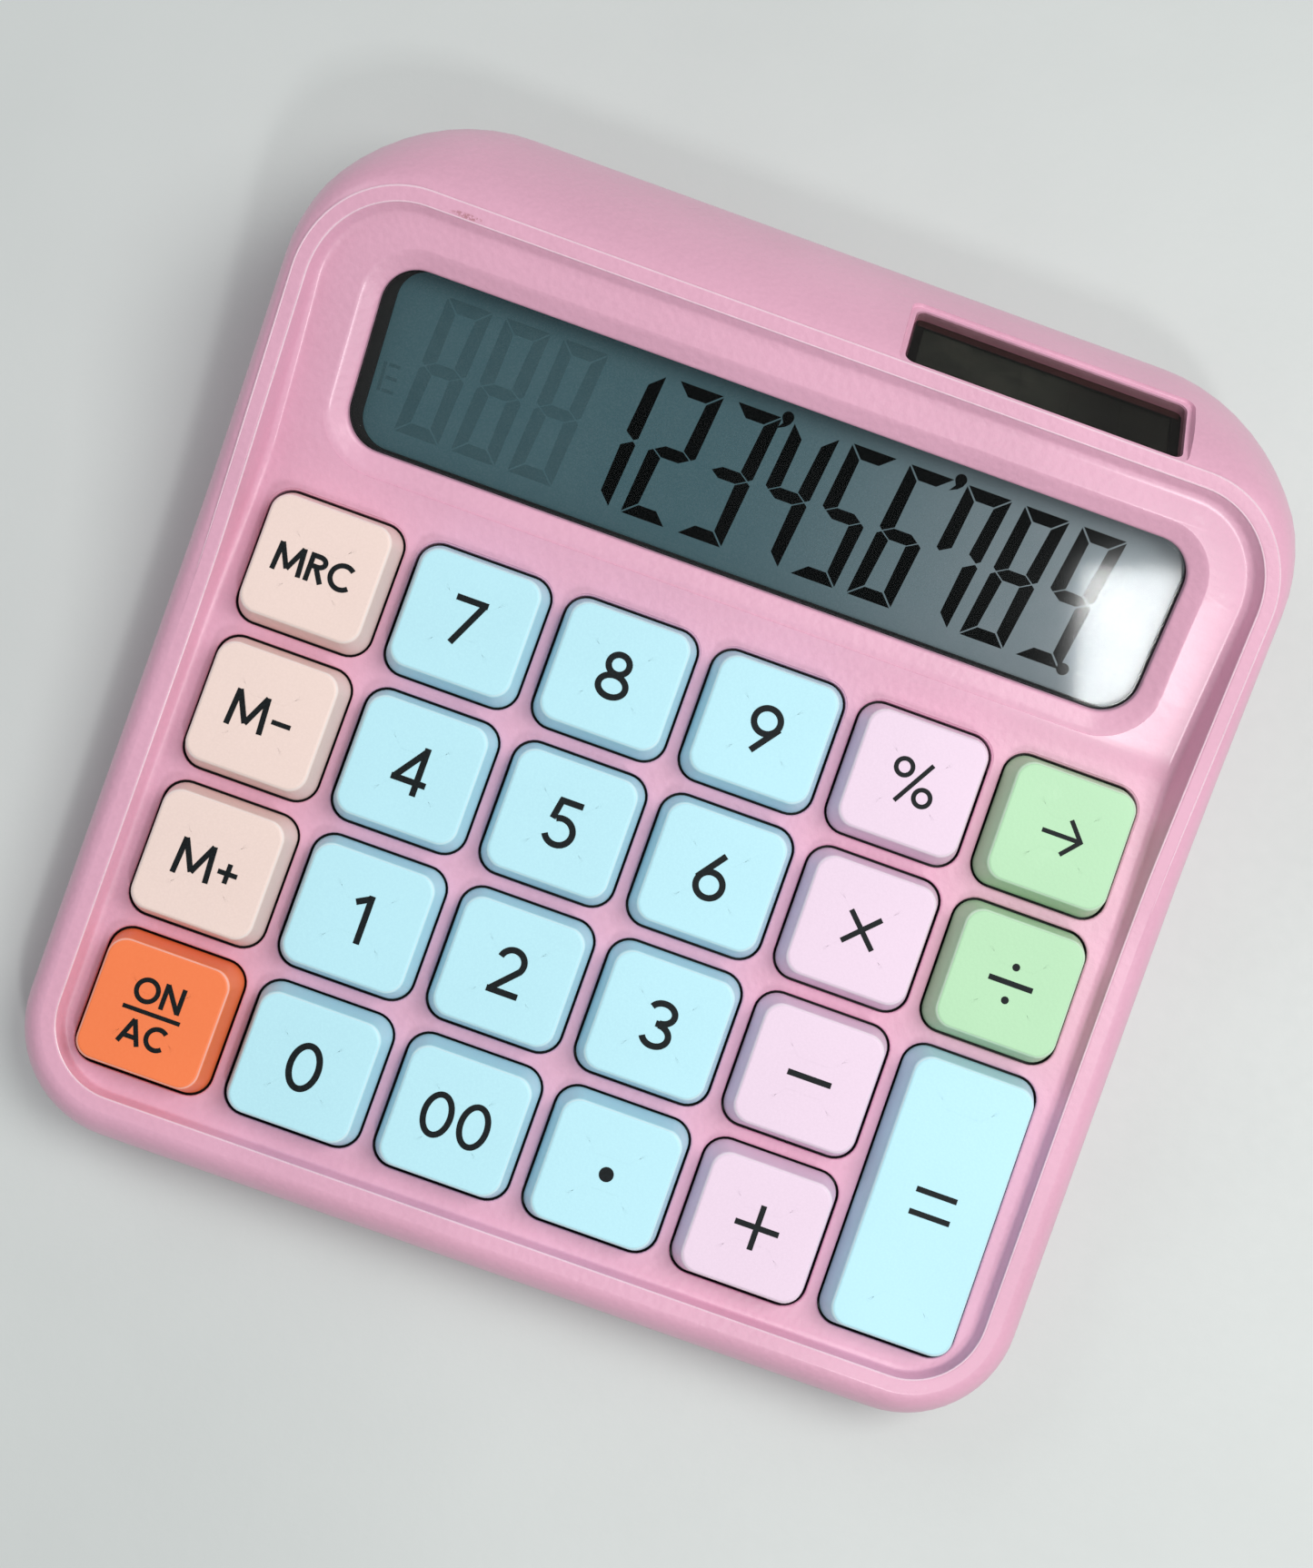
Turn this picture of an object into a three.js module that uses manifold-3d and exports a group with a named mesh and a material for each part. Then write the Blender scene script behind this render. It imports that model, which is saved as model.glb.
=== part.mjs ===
// Desk calculator with a raised display, built from its separate pieces.
// Millimetres. X to the right, Y towards the display, Z up.
// The origin is on the table, under the middle of the case.
import * as THREE from "three";
import { mergeVertices } from "three/addons/utils/BufferGeometryUtils.js";
import Module from "manifold-3d";

const wasm = await Module();
wasm.setup();

const DEGREE = Math.PI / 180;

// ---------------------------------------------------------------- driving dimensions

// Key grid
const KEY_COLUMNS = 6;
const KEY_ROWS = 4;
const KEY_PITCH_X = 22.5;
const KEY_PITCH_Y = 22.2;
const KEY_RIB = 1.85; // plastic left between two key openings
const KEY_GAP = 0.35; // between a key and the edge of its opening
const KEY_CORNER = 3.5; // corner radius of a key opening
const KEY_TRAVEL = 2.5;
const KEY_RISE = 5; // key top above the key plate
const KEY_TOP_INSET = 0.95; // how far the key's sides lean in
const KEY_EDGE = 0.45; // rounded edge round the key top
const KEY_FLANGE = 0.55; // retaining flange, beyond the opening
const KEY_FLANGE_DEPTH = 1.25;
const KEY_WALL = 1.4;
const KEY_ROOF = 1.8;
const KEY_STEM = 2.2; // half width of the plunger

// Case
const PLATE_TILT = 5 * DEGREE; // key plate above the table
const DISPLAY_TILT = 25 * DEGREE; // display face above the table
const PLATE_HEIGHT = 17.5; // key plate above the table, at the middle of the key grid
const PLATE_THICKNESS = 2;
const CASE_WALL = 2.2;
const FACE_SIDE_MARGIN = 2.6; // from the outer key openings to the rim
const FACE_FRONT_MARGIN = 2.6;
const BEND_MARGIN = 3.4; // from the last key openings to the bend of the face
const BEND_SOFTNESS = 1.2;
const RIM_HEIGHT = 2; // rim above the key plate
const RIM_WALL_RUN = 1.4; // slope of the rim's inner wall, seen from above
const RIM_CREST = 1.8;
const RIM_FLANK = 3.9; // roundness of the outer side, seen from above
const RIM_BACK_FLANK = 19.8; // long rounded slope at the back
const FRONT_NARROWING = 0.00016; // share of the width lost for each millimetre towards the front
const NARROWING_START = 25; // in front of this the case narrows
const RIM_LIFT_START = 19; // from the bend forwards to where the rim starts to rise
const RIM_LIFT_TILT = 17.6 * DEGREE;
const RIM_SOFTNESS = 4;
const FACE_FRONT_CORNER = 9.5;
const FACE_BACK_CORNER = 12;
const BACK_CORNER_GROWTH = 8; // extra corner radius at the foot of the back slope
const PARTING_DROP = 5.5; // joint between the two shells, below the key plate
const SEAM_GAP = 0.3;
const TONGUE_HEIGHT = 1.6;
const TONGUE_WIDTH = 1.2;
const FLOOR_THICKNESS = 2.2;
const FLOOR_CLEARANCE = 1; // floor of the case above the table
const UNDERCUT_SIDE = 3.2; // how far the bottom shell draws in at the floor
const UNDERCUT_BACK = 12;
const UNDERCUT_EDGE = 1.4; // rounded lower edge

// Display
const WINDOW_HEIGHT = 26.6;
const WINDOW_SIDE_MARGIN = 8.85; // from the rim to the window
const WINDOW_FRONT_MARGIN = 5.4; // from the bend to the window, along the slope
const WINDOW_BACK_MARGIN = 6.8; // from the window to the rim, along the slope
const WINDOW_CORNER = 5.6;
const RECESS_BORDER = 2.6; // sloping border round the window
const RECESS_DEPTH = 1;
const WINDOW_LIP = 1.2; // plastic left over the lens, below the sloping border
const LENS_FLANGE = 1.7; // beyond the window, behind the lip
const LENS_FLANGE_THICKNESS = 0.9;
const FRAME_BORDER = 4.2; // thick frame behind the face, beyond the window and below the face
const GASKET_THICKNESS = 0.5;
const GASKET_LEFT = 1.7; // visible border of the gasket on the left
const GASKET_FRONT = 0.8;
const GASKET_RIGHT = 0.1;
const GASKET_BACK = 0.1;
const LCD_THICKNESS = 2.2;
const RIBBON_WIDTH = 64;
const RIBBON_THICKNESS = 0.25;

// Solar cell on the back slope
const SOLAR_LENGTH = 40.5;
const SOLAR_WIDTH = 12.3;
const SOLAR_TILT = 35 * DEGREE;
const SOLAR_RIGHT_MARGIN = 7.85; // from the display window's right end to the solar window's
const SOLAR_BACK = 6; // from the ridge to the middle of the solar window, seen from above
const SOLAR_DROP = 5.1; // middle of the solar window below the ridge
const SOLAR_POCKET_BORDER = 1.1;
const SOLAR_WINDOW_THICKNESS = 1.3;
const SOLAR_LEDGE = 1.2;
const SOLAR_CELL_THICKNESS = 1.1;

// Inside
const FIT = 0.3; // clearance between pieces that touch
const MAT_THICKNESS = 0.8;
const DOME_RADIUS = 4;
const DOME_HEIGHT = 0.2; // drawn at the height it has under a pressed key
const BOARD_THICKNESS = 1.6;
const BOARD_SIDE_INSET = 0.775; // from the outer side of the key openings
const BOARD_FRONT_INSET = 0.475;
const MAT_INSET = 1; // from the edge of the board
const BOARD_CORNER = 8;
const CHIP_RADIUS = 6;
const CHIP_HEIGHT = 1.2;

// Fasteners
const SCREW_SHANK = 1.1;
const SCREW_HEAD = 2.1;
const SCREW_HEAD_HEIGHT = 1.5;
const SCREW_BITE = 2.6; // length held in the upper boss
const SCREW_SLOT = 0.6;
const BOSS_RADIUS = 2;
const POST_RADIUS = 2.9;
const FRONT_POST_OFFSET = 0.9; // from the front of the face forwards, clear of a pressed key
const POST_LAND = 3; // plastic between the screw head and the top of the post
const BOARD_BOSS_RADIUS = 1.9;

// Battery and its door
const BATTERY_LENGTH = 44.5;
const BATTERY_DIAMETER = 10.5;
const BATTERY_BUTTON = 1;
const CONTACT_THICKNESS = 0.5;
const SPRING_LENGTH = 4.5;
const SPRING_WIRE = 0.35;
const WELL_WALL = 1.5;
const DOOR_THICKNESS = 1.5;
const DOOR_LIP = 2.5; // how far the door reaches past the well
const DOOR_TRAVEL = 12;
const FOOT_RADIUS = 5;
const FOOT_HEIGHT = 1.6;
const FOOT_INSET = 11; // foot centre from the edge of the floor

// ---------------------------------------------------------------- derived layout
// y runs from the middle of the key grid towards the display.

const holeX = KEY_PITCH_X - KEY_RIB;
const holeY = KEY_PITCH_Y - KEY_RIB;
const gridHalfX = (KEY_COLUMNS - 1) * KEY_PITCH_X / 2;
const gridHalfY = (KEY_ROWS - 1) * KEY_PITCH_Y / 2;
const faceHalf = gridHalfX + holeX / 2 + FACE_SIDE_MARGIN;
const faceFront = -(gridHalfY + holeY / 2 + FACE_FRONT_MARGIN) * Math.cos(PLATE_TILT);
const bend = (gridHalfY + holeY / 2 + BEND_MARGIN) * Math.cos(PLATE_TILT);
const displayLength = WINDOW_FRONT_MARGIN + WINDOW_HEIGHT + WINDOW_BACK_MARGIN;
const faceBack = bend + displayLength * Math.cos(DISPLAY_TILT);
const rimRun = RIM_WALL_RUN + RIM_CREST;
const ridge = faceBack + rimRun;
const caseHalf = faceHalf + rimRun + RIM_FLANK;
const caseFront = faceFront - rimRun - RIM_FLANK;
const caseBack = ridge + RIM_BACK_FLANK;
const caseMiddle = (caseFront + caseBack) / 2;
const floorTop = FLOOR_CLEARANCE + FLOOR_THICKNESS;

const softRamp = (t, slope, softness) => slope * (t + Math.sqrt(t * t + 4 * softness * softness)) / 2;
const plateZ = (y) => PLATE_HEIGHT + y * Math.tan(PLATE_TILT);
const displaySlope = Math.tan(DISPLAY_TILT) - Math.tan(PLATE_TILT);
const rimSlope = Math.tan(RIM_LIFT_TILT) - Math.tan(PLATE_TILT);
const faceZ = (y) => plateZ(y) + softRamp(y - bend, displaySlope, BEND_SOFTNESS);
const partingZ = (y) => plateZ(y) - PARTING_DROP;
const rimZ = (y) => {
  const held = Math.min(y, ridge);
  return plateZ(held) + RIM_HEIGHT + softRamp(held - bend + RIM_LIFT_START, rimSlope, RIM_SOFTNESS);
};
const flankZ = (share) => (y) => partingZ(y) + share * (rimZ(y) - partingZ(y));

const narrowing = (y) => 1 - FRONT_NARROWING * Math.max(0, NARROWING_START - y);
const sideLevels = [-0.2, 0.45, 0.75, 0.92, 1, 1.08, 1.3].map((share) => share * bend);

// ---------------------------------------------------------------- geometry helpers

// Right half of a rounded outline, from the front to the back.
function halfOutline(ring, segments, levels) {
  const points = [];
  for (let i = 0; i <= segments; i += 1) {
    const angle = -Math.PI / 2 + i * Math.PI / 2 / segments;
    points.push([
      ring.half - ring.frontCorner + ring.frontCorner * Math.cos(angle),
      ring.front + ring.frontCorner + ring.frontCorner * Math.sin(angle),
    ]);
  }
  levels.forEach((level) => points.push([ring.half, level]));
  for (let i = 0; i <= segments; i += 1) {
    const angle = i * Math.PI / 2 / segments;
    points.push([
      ring.half - ring.backCorner + ring.backCorner * Math.cos(angle),
      ring.back - ring.backCorner + ring.backCorner * Math.sin(angle),
    ]);
  }
  return ring.narrowed ? points.map(([x, y]) => [x * narrowing(y), y]) : points;
}

// Closed solid through a stack of rings. Each ring has its outline and z, a number or z(y).
function loft(rings, segments = 3, levels = []) {
  const positions = [];
  const halves = rings.map((ring) => halfOutline(ring, segments, levels));
  const count = halves[0].length;
  rings.forEach((ring, index) => {
    const height = (y) => (typeof ring.z === "function" ? ring.z(y) : ring.z);
    const right = halves[index];
    right.forEach(([x, y]) => positions.push(x, y, height(y)));
    right.slice().reverse().forEach(([x, y]) => positions.push(-x, y, height(y)));
  });
  const around = 2 * count;
  const faces = [];
  const quad = (a, b, c, d) => faces.push(a, b, c, a, c, d);
  for (let k = 0; k + 1 < rings.length; k += 1) {
    for (let i = 0; i < around; i += 1) {
      const next = (i + 1) % around;
      quad(k * around + i, k * around + next, (k + 1) * around + next, (k + 1) * around + i);
    }
  }
  const top = (rings.length - 1) * around;
  for (let i = 0; i + 1 < count; i += 1) {
    const j = around - 1 - i;
    quad(i, j, j - 1, i + 1);
    quad(top + i, top + i + 1, top + j - 1, top + j);
  }
  const geometry = new THREE.BufferGeometry();
  geometry.setAttribute("position", new THREE.Float32BufferAttribute(positions, 3));
  geometry.setIndex(faces);
  return geometry;
}

// A ring centred on its own origin.
const centred = (halfX, halfY, corner, z) => ({
  half: halfX, front: -halfY, back: halfY, frontCorner: corner, backCorner: corner, z,
});

function plateBlock(halfX, halfY, corner, low, high, segments = 3) {
  return loft([centred(halfX, halfY, corner, low), centred(halfX, halfY, corner, high)], segments);
}

// Upright cylinder between two heights.
function post(x, y, low, high, radius, sides = 12) {
  const geometry = new THREE.CylinderGeometry(radius, radius, high - low, sides);
  geometry.rotateX(Math.PI / 2);
  geometry.translate(x, y, (low + high) / 2);
  return geometry;
}

function turned(geometry, frame) {
  return geometry.clone().applyMatrix4(frame);
}

function solid(geometry) {
  const bare = geometry.clone();
  bare.deleteAttribute("normal");
  bare.deleteAttribute("uv");
  const merged = mergeVertices(bare, 1e-5);
  return new wasm.Manifold(new wasm.Mesh({
    numProp: 3,
    vertProperties: new Float32Array(merged.attributes.position.array),
    triVerts: new Uint32Array(merged.index.array),
  }));
}

function surface(manifold) {
  const mesh = manifold.getMesh();
  const geometry = new THREE.BufferGeometry();
  geometry.setAttribute("position", new THREE.Float32BufferAttribute(mesh.vertProperties, 3));
  geometry.setIndex(Array.from(mesh.triVerts));
  return geometry;
}

const joined = (parts) => parts.map(solid).reduce((whole, piece) => whole.add(piece));
const without = (whole, cuts) => cuts.map(solid).reduce((rest, cut) => rest.subtract(cut), whole);

// ---------------------------------------------------------------- frames of the sloping faces

function slopedFrame(x, y, z, tilt) {
  const frame = new THREE.Matrix4().makeRotationX(tilt);
  frame.setPosition(x, y, z);
  return frame;
}

// Key plate: its origin is the middle of the key grid, its z is square to the plate.
const plateFrame = slopedFrame(0, 0, PLATE_HEIGHT, PLATE_TILT);

// Display face: its origin is the middle of the window.
const windowRun = (WINDOW_FRONT_MARGIN + WINDOW_HEIGHT / 2) * Math.cos(DISPLAY_TILT);
const windowMiddle = bend + windowRun;
const windowZ = plateZ(bend) + windowRun * Math.tan(DISPLAY_TILT);
const displayFrame = slopedFrame(0, windowMiddle, windowZ, DISPLAY_TILT);
const windowHalf = faceHalf - WINDOW_SIDE_MARGIN;
const windowHalfY = WINDOW_HEIGHT / 2;

// Solar pocket: its origin is the middle of the pocket's floor.
const solarX = windowHalf - SOLAR_RIGHT_MARGIN - SOLAR_LENGTH / 2;
const solarFrame = slopedFrame(solarX, ridge + SOLAR_BACK, rimZ(ridge) - SOLAR_DROP, -SOLAR_TILT);

// ---------------------------------------------------------------- places of fasteners

const mirrored = (x, y, names) => [{ x: -x, y, name: names[0] }, { x, y, name: names[1] }];
const frontScrewY = faceFront - FRONT_POST_OFFSET;
const caseScrews = [
  ...mirrored(KEY_PITCH_X * 1.75, frontScrewY, ["front_left", "front_right"]),
  ...mirrored(faceHalf + FIT, bend - 25, ["middle_left", "middle_right"]),
  ...mirrored(gridHalfX + 2, ridge - 2, ["back_left", "back_right"]),
];
caseScrews.forEach((screw) => {
  screw.joint = partingZ(screw.y) + TONGUE_HEIGHT;
});
const boardScrewY = gridHalfY + holeY / 2 + BEND_MARGIN - 0.5;
const boardScrews = [
  { x: -2 * KEY_PITCH_X, name: "left" },
  { x: 0, name: "middle" },
  { x: 2 * KEY_PITCH_X, name: "right" },
];

// Levels of the stack under the keys, in the key plate's frame
const flangeLow = -PLATE_THICKNESS - FIT - KEY_FLANGE_DEPTH;
const matTop = flangeLow - KEY_TRAVEL - FIT;
const matLow = matTop - MAT_THICKNESS;
const boardTop = matLow - FIT;
const boardLow = boardTop - BOARD_THICKNESS;
const boardHalfX = gridHalfX + holeX / 2 - BOARD_SIDE_INSET;
const boardHalfY = gridHalfY + holeY / 2 - BOARD_FRONT_INSET;

// ---------------------------------------------------------------- case rings

const caseCorner = { front: FACE_FRONT_CORNER, back: FACE_BACK_CORNER };

// Ring on the face side of the rim, "run" outside the face.
const rimRing = (run, z) => ({
  half: faceHalf + run,
  front: faceFront - run,
  back: faceBack + run,
  frontCorner: caseCorner.front + run,
  backCorner: caseCorner.back + run,
  narrowed: true,
  z,
});

// Ring on the rounded outer side, at a share of its height; inset moves it into the wall.
function flankRing(share, inset = 0, z = flankZ(share)) {
  const side = Math.sqrt(1 - share ** 2);
  const back = (1 - share ** 1.4) ** (1 / 1.4);
  return {
    half: faceHalf + rimRun + side * RIM_FLANK - inset,
    front: faceFront - rimRun - side * RIM_FLANK + inset,
    back: ridge + back * RIM_BACK_FLANK - inset,
    frontCorner: caseCorner.front + rimRun + side * RIM_FLANK - inset,
    backCorner: caseCorner.back + rimRun + back * BACK_CORNER_GROWTH + side * RIM_FLANK - inset,
    narrowed: true,
    z,
  };
}

// Ring of the bottom shell, drawn in from the parting line.
function baseRing(side, back, z) {
  const edge = flankRing(0, 0, z);
  return {
    ...edge,
    half: edge.half - side,
    front: edge.front + side,
    back: edge.back - back,
    frontCorner: edge.frontCorner - side,
    backCorner: edge.backCorner - side,
  };
}

// ---------------------------------------------------------------- key layout

const keys = [
  ["key_mrc", 0, 0, "memory"], ["key_7", 1, 0, "digit"], ["key_8", 2, 0, "digit"],
  ["key_9", 3, 0, "digit"], ["key_percent", 4, 0, "sign"], ["key_backspace", 5, 0, "green"],
  ["key_m_minus", 0, 1, "memory"], ["key_4", 1, 1, "digit"], ["key_5", 2, 1, "digit"],
  ["key_6", 3, 1, "digit"], ["key_multiply", 4, 1, "sign"], ["key_divide", 5, 1, "green"],
  ["key_m_plus", 0, 2, "memory"], ["key_1", 1, 2, "digit"], ["key_2", 2, 2, "digit"],
  ["key_3", 3, 2, "digit"], ["key_minus", 4, 2, "sign"], ["key_equals", 5, 2, "digit", 2],
  ["key_on_ac", 0, 3, "power"], ["key_0", 1, 3, "digit"], ["key_00", 2, 3, "digit"],
  ["key_point", 3, 3, "digit"], ["key_plus", 4, 3, "sign"],
].map(([name, column, row, finish, rows = 1]) => ({
  name,
  finish,
  x: column * KEY_PITCH_X - gridHalfX,
  y: gridHalfY - (row + (rows - 1) / 2) * KEY_PITCH_Y,
  halfX: holeX / 2,
  halfY: holeY / 2 + (rows - 1) * KEY_PITCH_Y / 2,
}));

// ---------------------------------------------------------------- pieces of the case

function keyOpening(key) {
  const cut = plateBlock(key.halfX, key.halfY, KEY_CORNER, flangeLow, KEY_RISE, 2);
  return turned(cut.translate(key.x, key.y, 0), plateFrame);
}

function displayRecess() {
  const ring = (grow, z) => centred(windowHalf + grow, windowHalfY + grow, WINDOW_CORNER + grow, z);
  const above = RECESS_BORDER / RECESS_DEPTH;
  const bevel = loft([ring(0, -RECESS_DEPTH), ring(above * (RECESS_DEPTH + 1), 1)], 3);
  const opening = loft([ring(0, -FRAME_BORDER), ring(0, 1)], 3);
  const seat = loft([
    ring(LENS_FLANGE + FIT, -FRAME_BORDER - 1),
    ring(LENS_FLANGE + FIT, -RECESS_DEPTH - WINDOW_LIP),
  ], 3);
  return [bevel, opening, seat].map((piece) => turned(piece, displayFrame));
}

function solarPocket() {
  const halfX = SOLAR_LENGTH / 2;
  const halfY = SOLAR_WIDTH / 2;
  const border = SOLAR_POCKET_BORDER;
  const pocket = plateBlock(halfX + border, halfY + border, 1, 0, 8, 2);
  const seat = plateBlock(halfX + FIT, halfY + FIT, 0.8, -SOLAR_WINDOW_THICKNESS - FIT, 1, 2);
  const opening = plateBlock(halfX - SOLAR_LEDGE, halfY - SOLAR_LEDGE, 0.6, -8, 1, 2);
  return [pocket, seat, opening].map((piece) => turned(piece, solarFrame));
}

function topShell() {
  const outside = solid(loft([
    flankRing(0), flankRing(0.3), flankRing(0.62), flankRing(0.88), flankRing(1),
    rimRing(RIM_WALL_RUN, rimZ), rimRing(0, faceZ),
  ], 4, sideLevels));
  const inside = loft([
    flankRing(0, CASE_WALL, (y) => partingZ(y) - 1),
    flankRing(0, CASE_WALL, (y) => partingZ(y) + TONGUE_HEIGHT + FIT),
    flankRing(0.3, CASE_WALL),
    flankRing(0.62, 1.4 * CASE_WALL, (y) => flankZ(0.55)(y) - 0.6),
    rimRing(-0.4, (y) => faceZ(y) - PLATE_THICKNESS),
  ], 4, sideLevels);
  const bosses = caseScrews.map((screw) => {
    const top = Math.min(faceZ(screw.y), rimZ(ridge) - 5) - FIT;
    return post(screw.x, screw.y, screw.joint + 2 * FIT, top, BOSS_RADIUS);
  });
  const boardBosses = boardScrews.map((screw) => (
    turned(post(screw.x, boardScrewY, boardTop + FIT, -1, BOARD_BOSS_RADIUS), plateFrame)
  ));
  const border = FRAME_BORDER;
  const frame = plateBlock(windowHalf + border, windowHalfY + border, WINDOW_CORNER, -border, -1.2);
  const housing = plateBlock(SOLAR_LENGTH / 2 + 3, SOLAR_WIDTH / 2 + 3, 2, -4, 1);
  const inner = [
    ...bosses, ...boardBosses, turned(frame, displayFrame), turned(housing, solarFrame),
  ];
  const whole = outside.subtract(solid(inside)).add(joined(inner).intersect(outside));
  const pilots = caseScrews.map((screw) => {
    const low = screw.joint;
    return post(screw.x, screw.y, low, low + SCREW_BITE + 4 * FIT, SCREW_SHANK + FIT, 8);
  });
  const boardPilots = boardScrews.map((screw) => {
    const high = boardTop + SCREW_BITE + 3 * FIT;
    return turned(post(screw.x, boardScrewY, boardTop, high, SCREW_SHANK + FIT, 8), plateFrame);
  });
  const cuts = [
    ...keys.map(keyOpening), ...displayRecess(), ...solarPocket(), ...pilots, ...boardPilots,
  ];
  return surface(without(whole, cuts));
}

const doorHalfX = (BATTERY_LENGTH + SPRING_LENGTH) / 2 + WELL_WALL + DOOR_LIP;
const wellHalfX = (BATTERY_LENGTH + SPRING_LENGTH + 2 * CONTACT_THICKNESS) / 2 + 3 * FIT;
const wellHalfY = BATTERY_DIAMETER / 2 + 2 * FIT;
const wellY = caseBack - UNDERCUT_BACK - wellHalfY - 13;
const wellTop = FLOOR_CLEARANCE + DOOR_THICKNESS + 2 * FIT + BATTERY_DIAMETER + 2 * FIT;
const batteryZ = FLOOR_CLEARANCE + DOOR_THICKNESS + 2 * FIT + BATTERY_DIAMETER / 2;
const doorFront = wellY - wellHalfY - DOOR_LIP;
const doorBack = caseBack - UNDERCUT_BACK - 1.5;

function block(lowX, highX, lowY, highY, lowZ, highZ) {
  const geometry = new THREE.BoxGeometry(highX - lowX, highY - lowY, highZ - lowZ);
  return geometry.translate((lowX + highX) / 2, (lowY + highY) / 2, (lowZ + highZ) / 2);
}

function bottomShell() {
  const halfway = (y) => (FLOOR_CLEARANCE + partingZ(y)) / 2;
  const edge = UNDERCUT_EDGE;
  const low = FLOOR_CLEARANCE;
  const outside = solid(loft([
    baseRing(UNDERCUT_SIDE, UNDERCUT_BACK, low),
    baseRing(UNDERCUT_SIDE - 0.75 * edge, UNDERCUT_BACK - 1.6 * edge, low + 0.6 * edge),
    baseRing(0.3 * UNDERCUT_SIDE, 0.32 * UNDERCUT_BACK, halfway),
    baseRing(0, 0, (y) => partingZ(y) - SEAM_GAP),
    baseRing(CASE_WALL + FIT, CASE_WALL + FIT, (y) => partingZ(y) - SEAM_GAP),
    baseRing(CASE_WALL + FIT, CASE_WALL + FIT, (y) => partingZ(y) + TONGUE_HEIGHT),
  ], 4));
  const wall = CASE_WALL + FIT + TONGUE_WIDTH;
  const inside = loft([
    baseRing(UNDERCUT_SIDE + CASE_WALL, UNDERCUT_BACK + CASE_WALL, floorTop),
    baseRing(wall + 0.6, 0.32 * UNDERCUT_BACK + wall, (y) => halfway(y) + floorTop / 3),
    baseRing(wall, wall, (y) => partingZ(y) + TONGUE_HEIGHT + 1),
  ], 4);
  const posts = caseScrews.map((screw) => (
    post(screw.x, screw.y, low + 0.5, screw.joint - FIT, POST_RADIUS)
  ));
  const well = block(
    -wellHalfX - WELL_WALL, wellHalfX + WELL_WALL,
    wellY - wellHalfY - WELL_WALL, wellY + wellHalfY + WELL_WALL, low + 0.5, wellTop + WELL_WALL,
  );
  const whole = outside.subtract(solid(inside)).add(joined([...posts, well]).intersect(outside));
  const headSeats = caseScrews.map((screw) => (
    post(screw.x, screw.y, 0, screw.joint - POST_LAND, SCREW_HEAD + FIT)
  ));
  const shanks = caseScrews.map((screw) => (
    post(screw.x, screw.y, 0, screw.joint + 1, SCREW_SHANK + FIT, 8)
  ));
  const cavity = block(-wellHalfX, wellHalfX, wellY - wellHalfY, wellY + wellHalfY, 0, wellTop);
  const doorway = block(
    -doorHalfX - FIT, doorHalfX + FIT, doorFront - FIT, caseBack, 0, low + DOOR_THICKNESS + FIT,
  );
  const pockets = feet.map((foot) => (
    post(foot.x, foot.y, 0, FOOT_HEIGHT + FIT, FOOT_RADIUS + 1.5 * FIT, 16)
  ));
  return surface(without(whole, [...headSeats, ...shanks, cavity, doorway, ...pockets]));
}

const floorHalf = caseHalf - UNDERCUT_SIDE;
const footX = floorHalf - FOOT_INSET;
const feet = [
  { name: "foot_front_left", x: -footX, y: caseFront + UNDERCUT_SIDE + FOOT_INSET },
  { name: "foot_front_right", x: footX, y: caseFront + UNDERCUT_SIDE + FOOT_INSET },
  { name: "foot_back_left", x: -footX, y: caseBack - UNDERCUT_BACK - 1.6 * FOOT_INSET },
  { name: "foot_back_right", x: footX, y: caseBack - UNDERCUT_BACK - 1.6 * FOOT_INSET },
];

// Sliding door over the battery, with a raised grip on its outside face.
function batteryDoor() {
  const low = FLOOR_CLEARANCE;
  const plate = block(-doorHalfX, doorHalfX, doorFront, doorBack, low, low + DOOR_THICKNESS);
  const grooves = [0, 1, 2, 3].map((index) => {
    const y = doorBack - 4 - 1.6 * index;
    return block(-8, 8, y - 0.4, y + 0.4, 0, low + 0.5);
  });
  return surface(without(solid(plate), grooves));
}

// ---------------------------------------------------------------- keys and what is under them

function keyCap(key) {
  const halfX = key.halfX - KEY_GAP;
  const halfY = key.halfY - KEY_GAP;
  const corner = KEY_CORNER - KEY_GAP;
  const ring = (inset, z) => centred(halfX - inset, halfY - inset, corner - 0.5 * inset, z);
  const flange = -KEY_GAP - KEY_FLANGE;
  const roof = KEY_RISE - KEY_ROOF;
  const stemLow = flangeLow + 0.2;
  return loft([
    centred(KEY_STEM, KEY_STEM, 0.5, stemLow),
    centred(KEY_STEM, KEY_STEM, 0.5, roof),
    ring(KEY_WALL + KEY_TOP_INSET, roof),
    ring(KEY_WALL, flangeLow),
    ring(flange, flangeLow),
    ring(flange, flangeLow + KEY_FLANGE_DEPTH),
    ring(0, flangeLow + KEY_FLANGE_DEPTH),
    ring(0, 0.2),
    ring(KEY_TOP_INSET, KEY_RISE - KEY_EDGE),
    ring(KEY_TOP_INSET + KEY_EDGE, KEY_RISE),
  ], 2);
}

// One silicone sheet with a low dome under the plunger of each key.
function domeMat() {
  const halfX = boardHalfX - MAT_INSET;
  const halfY = boardHalfY - MAT_INSET;
  const sheet = plateBlock(halfX, halfY, BOARD_CORNER - MAT_INSET, matLow, matTop);
  const domes = keys.map((key) => {
    const dome = new THREE.CylinderGeometry(DOME_RADIUS - 1, DOME_RADIUS, 0.4 + DOME_HEIGHT, 8);
    dome.rotateX(Math.PI / 2);
    return dome.translate(key.x, key.y, matTop - 0.2 + DOME_HEIGHT / 2);
  });
  return surface(joined([sheet, ...domes]));
}

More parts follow.
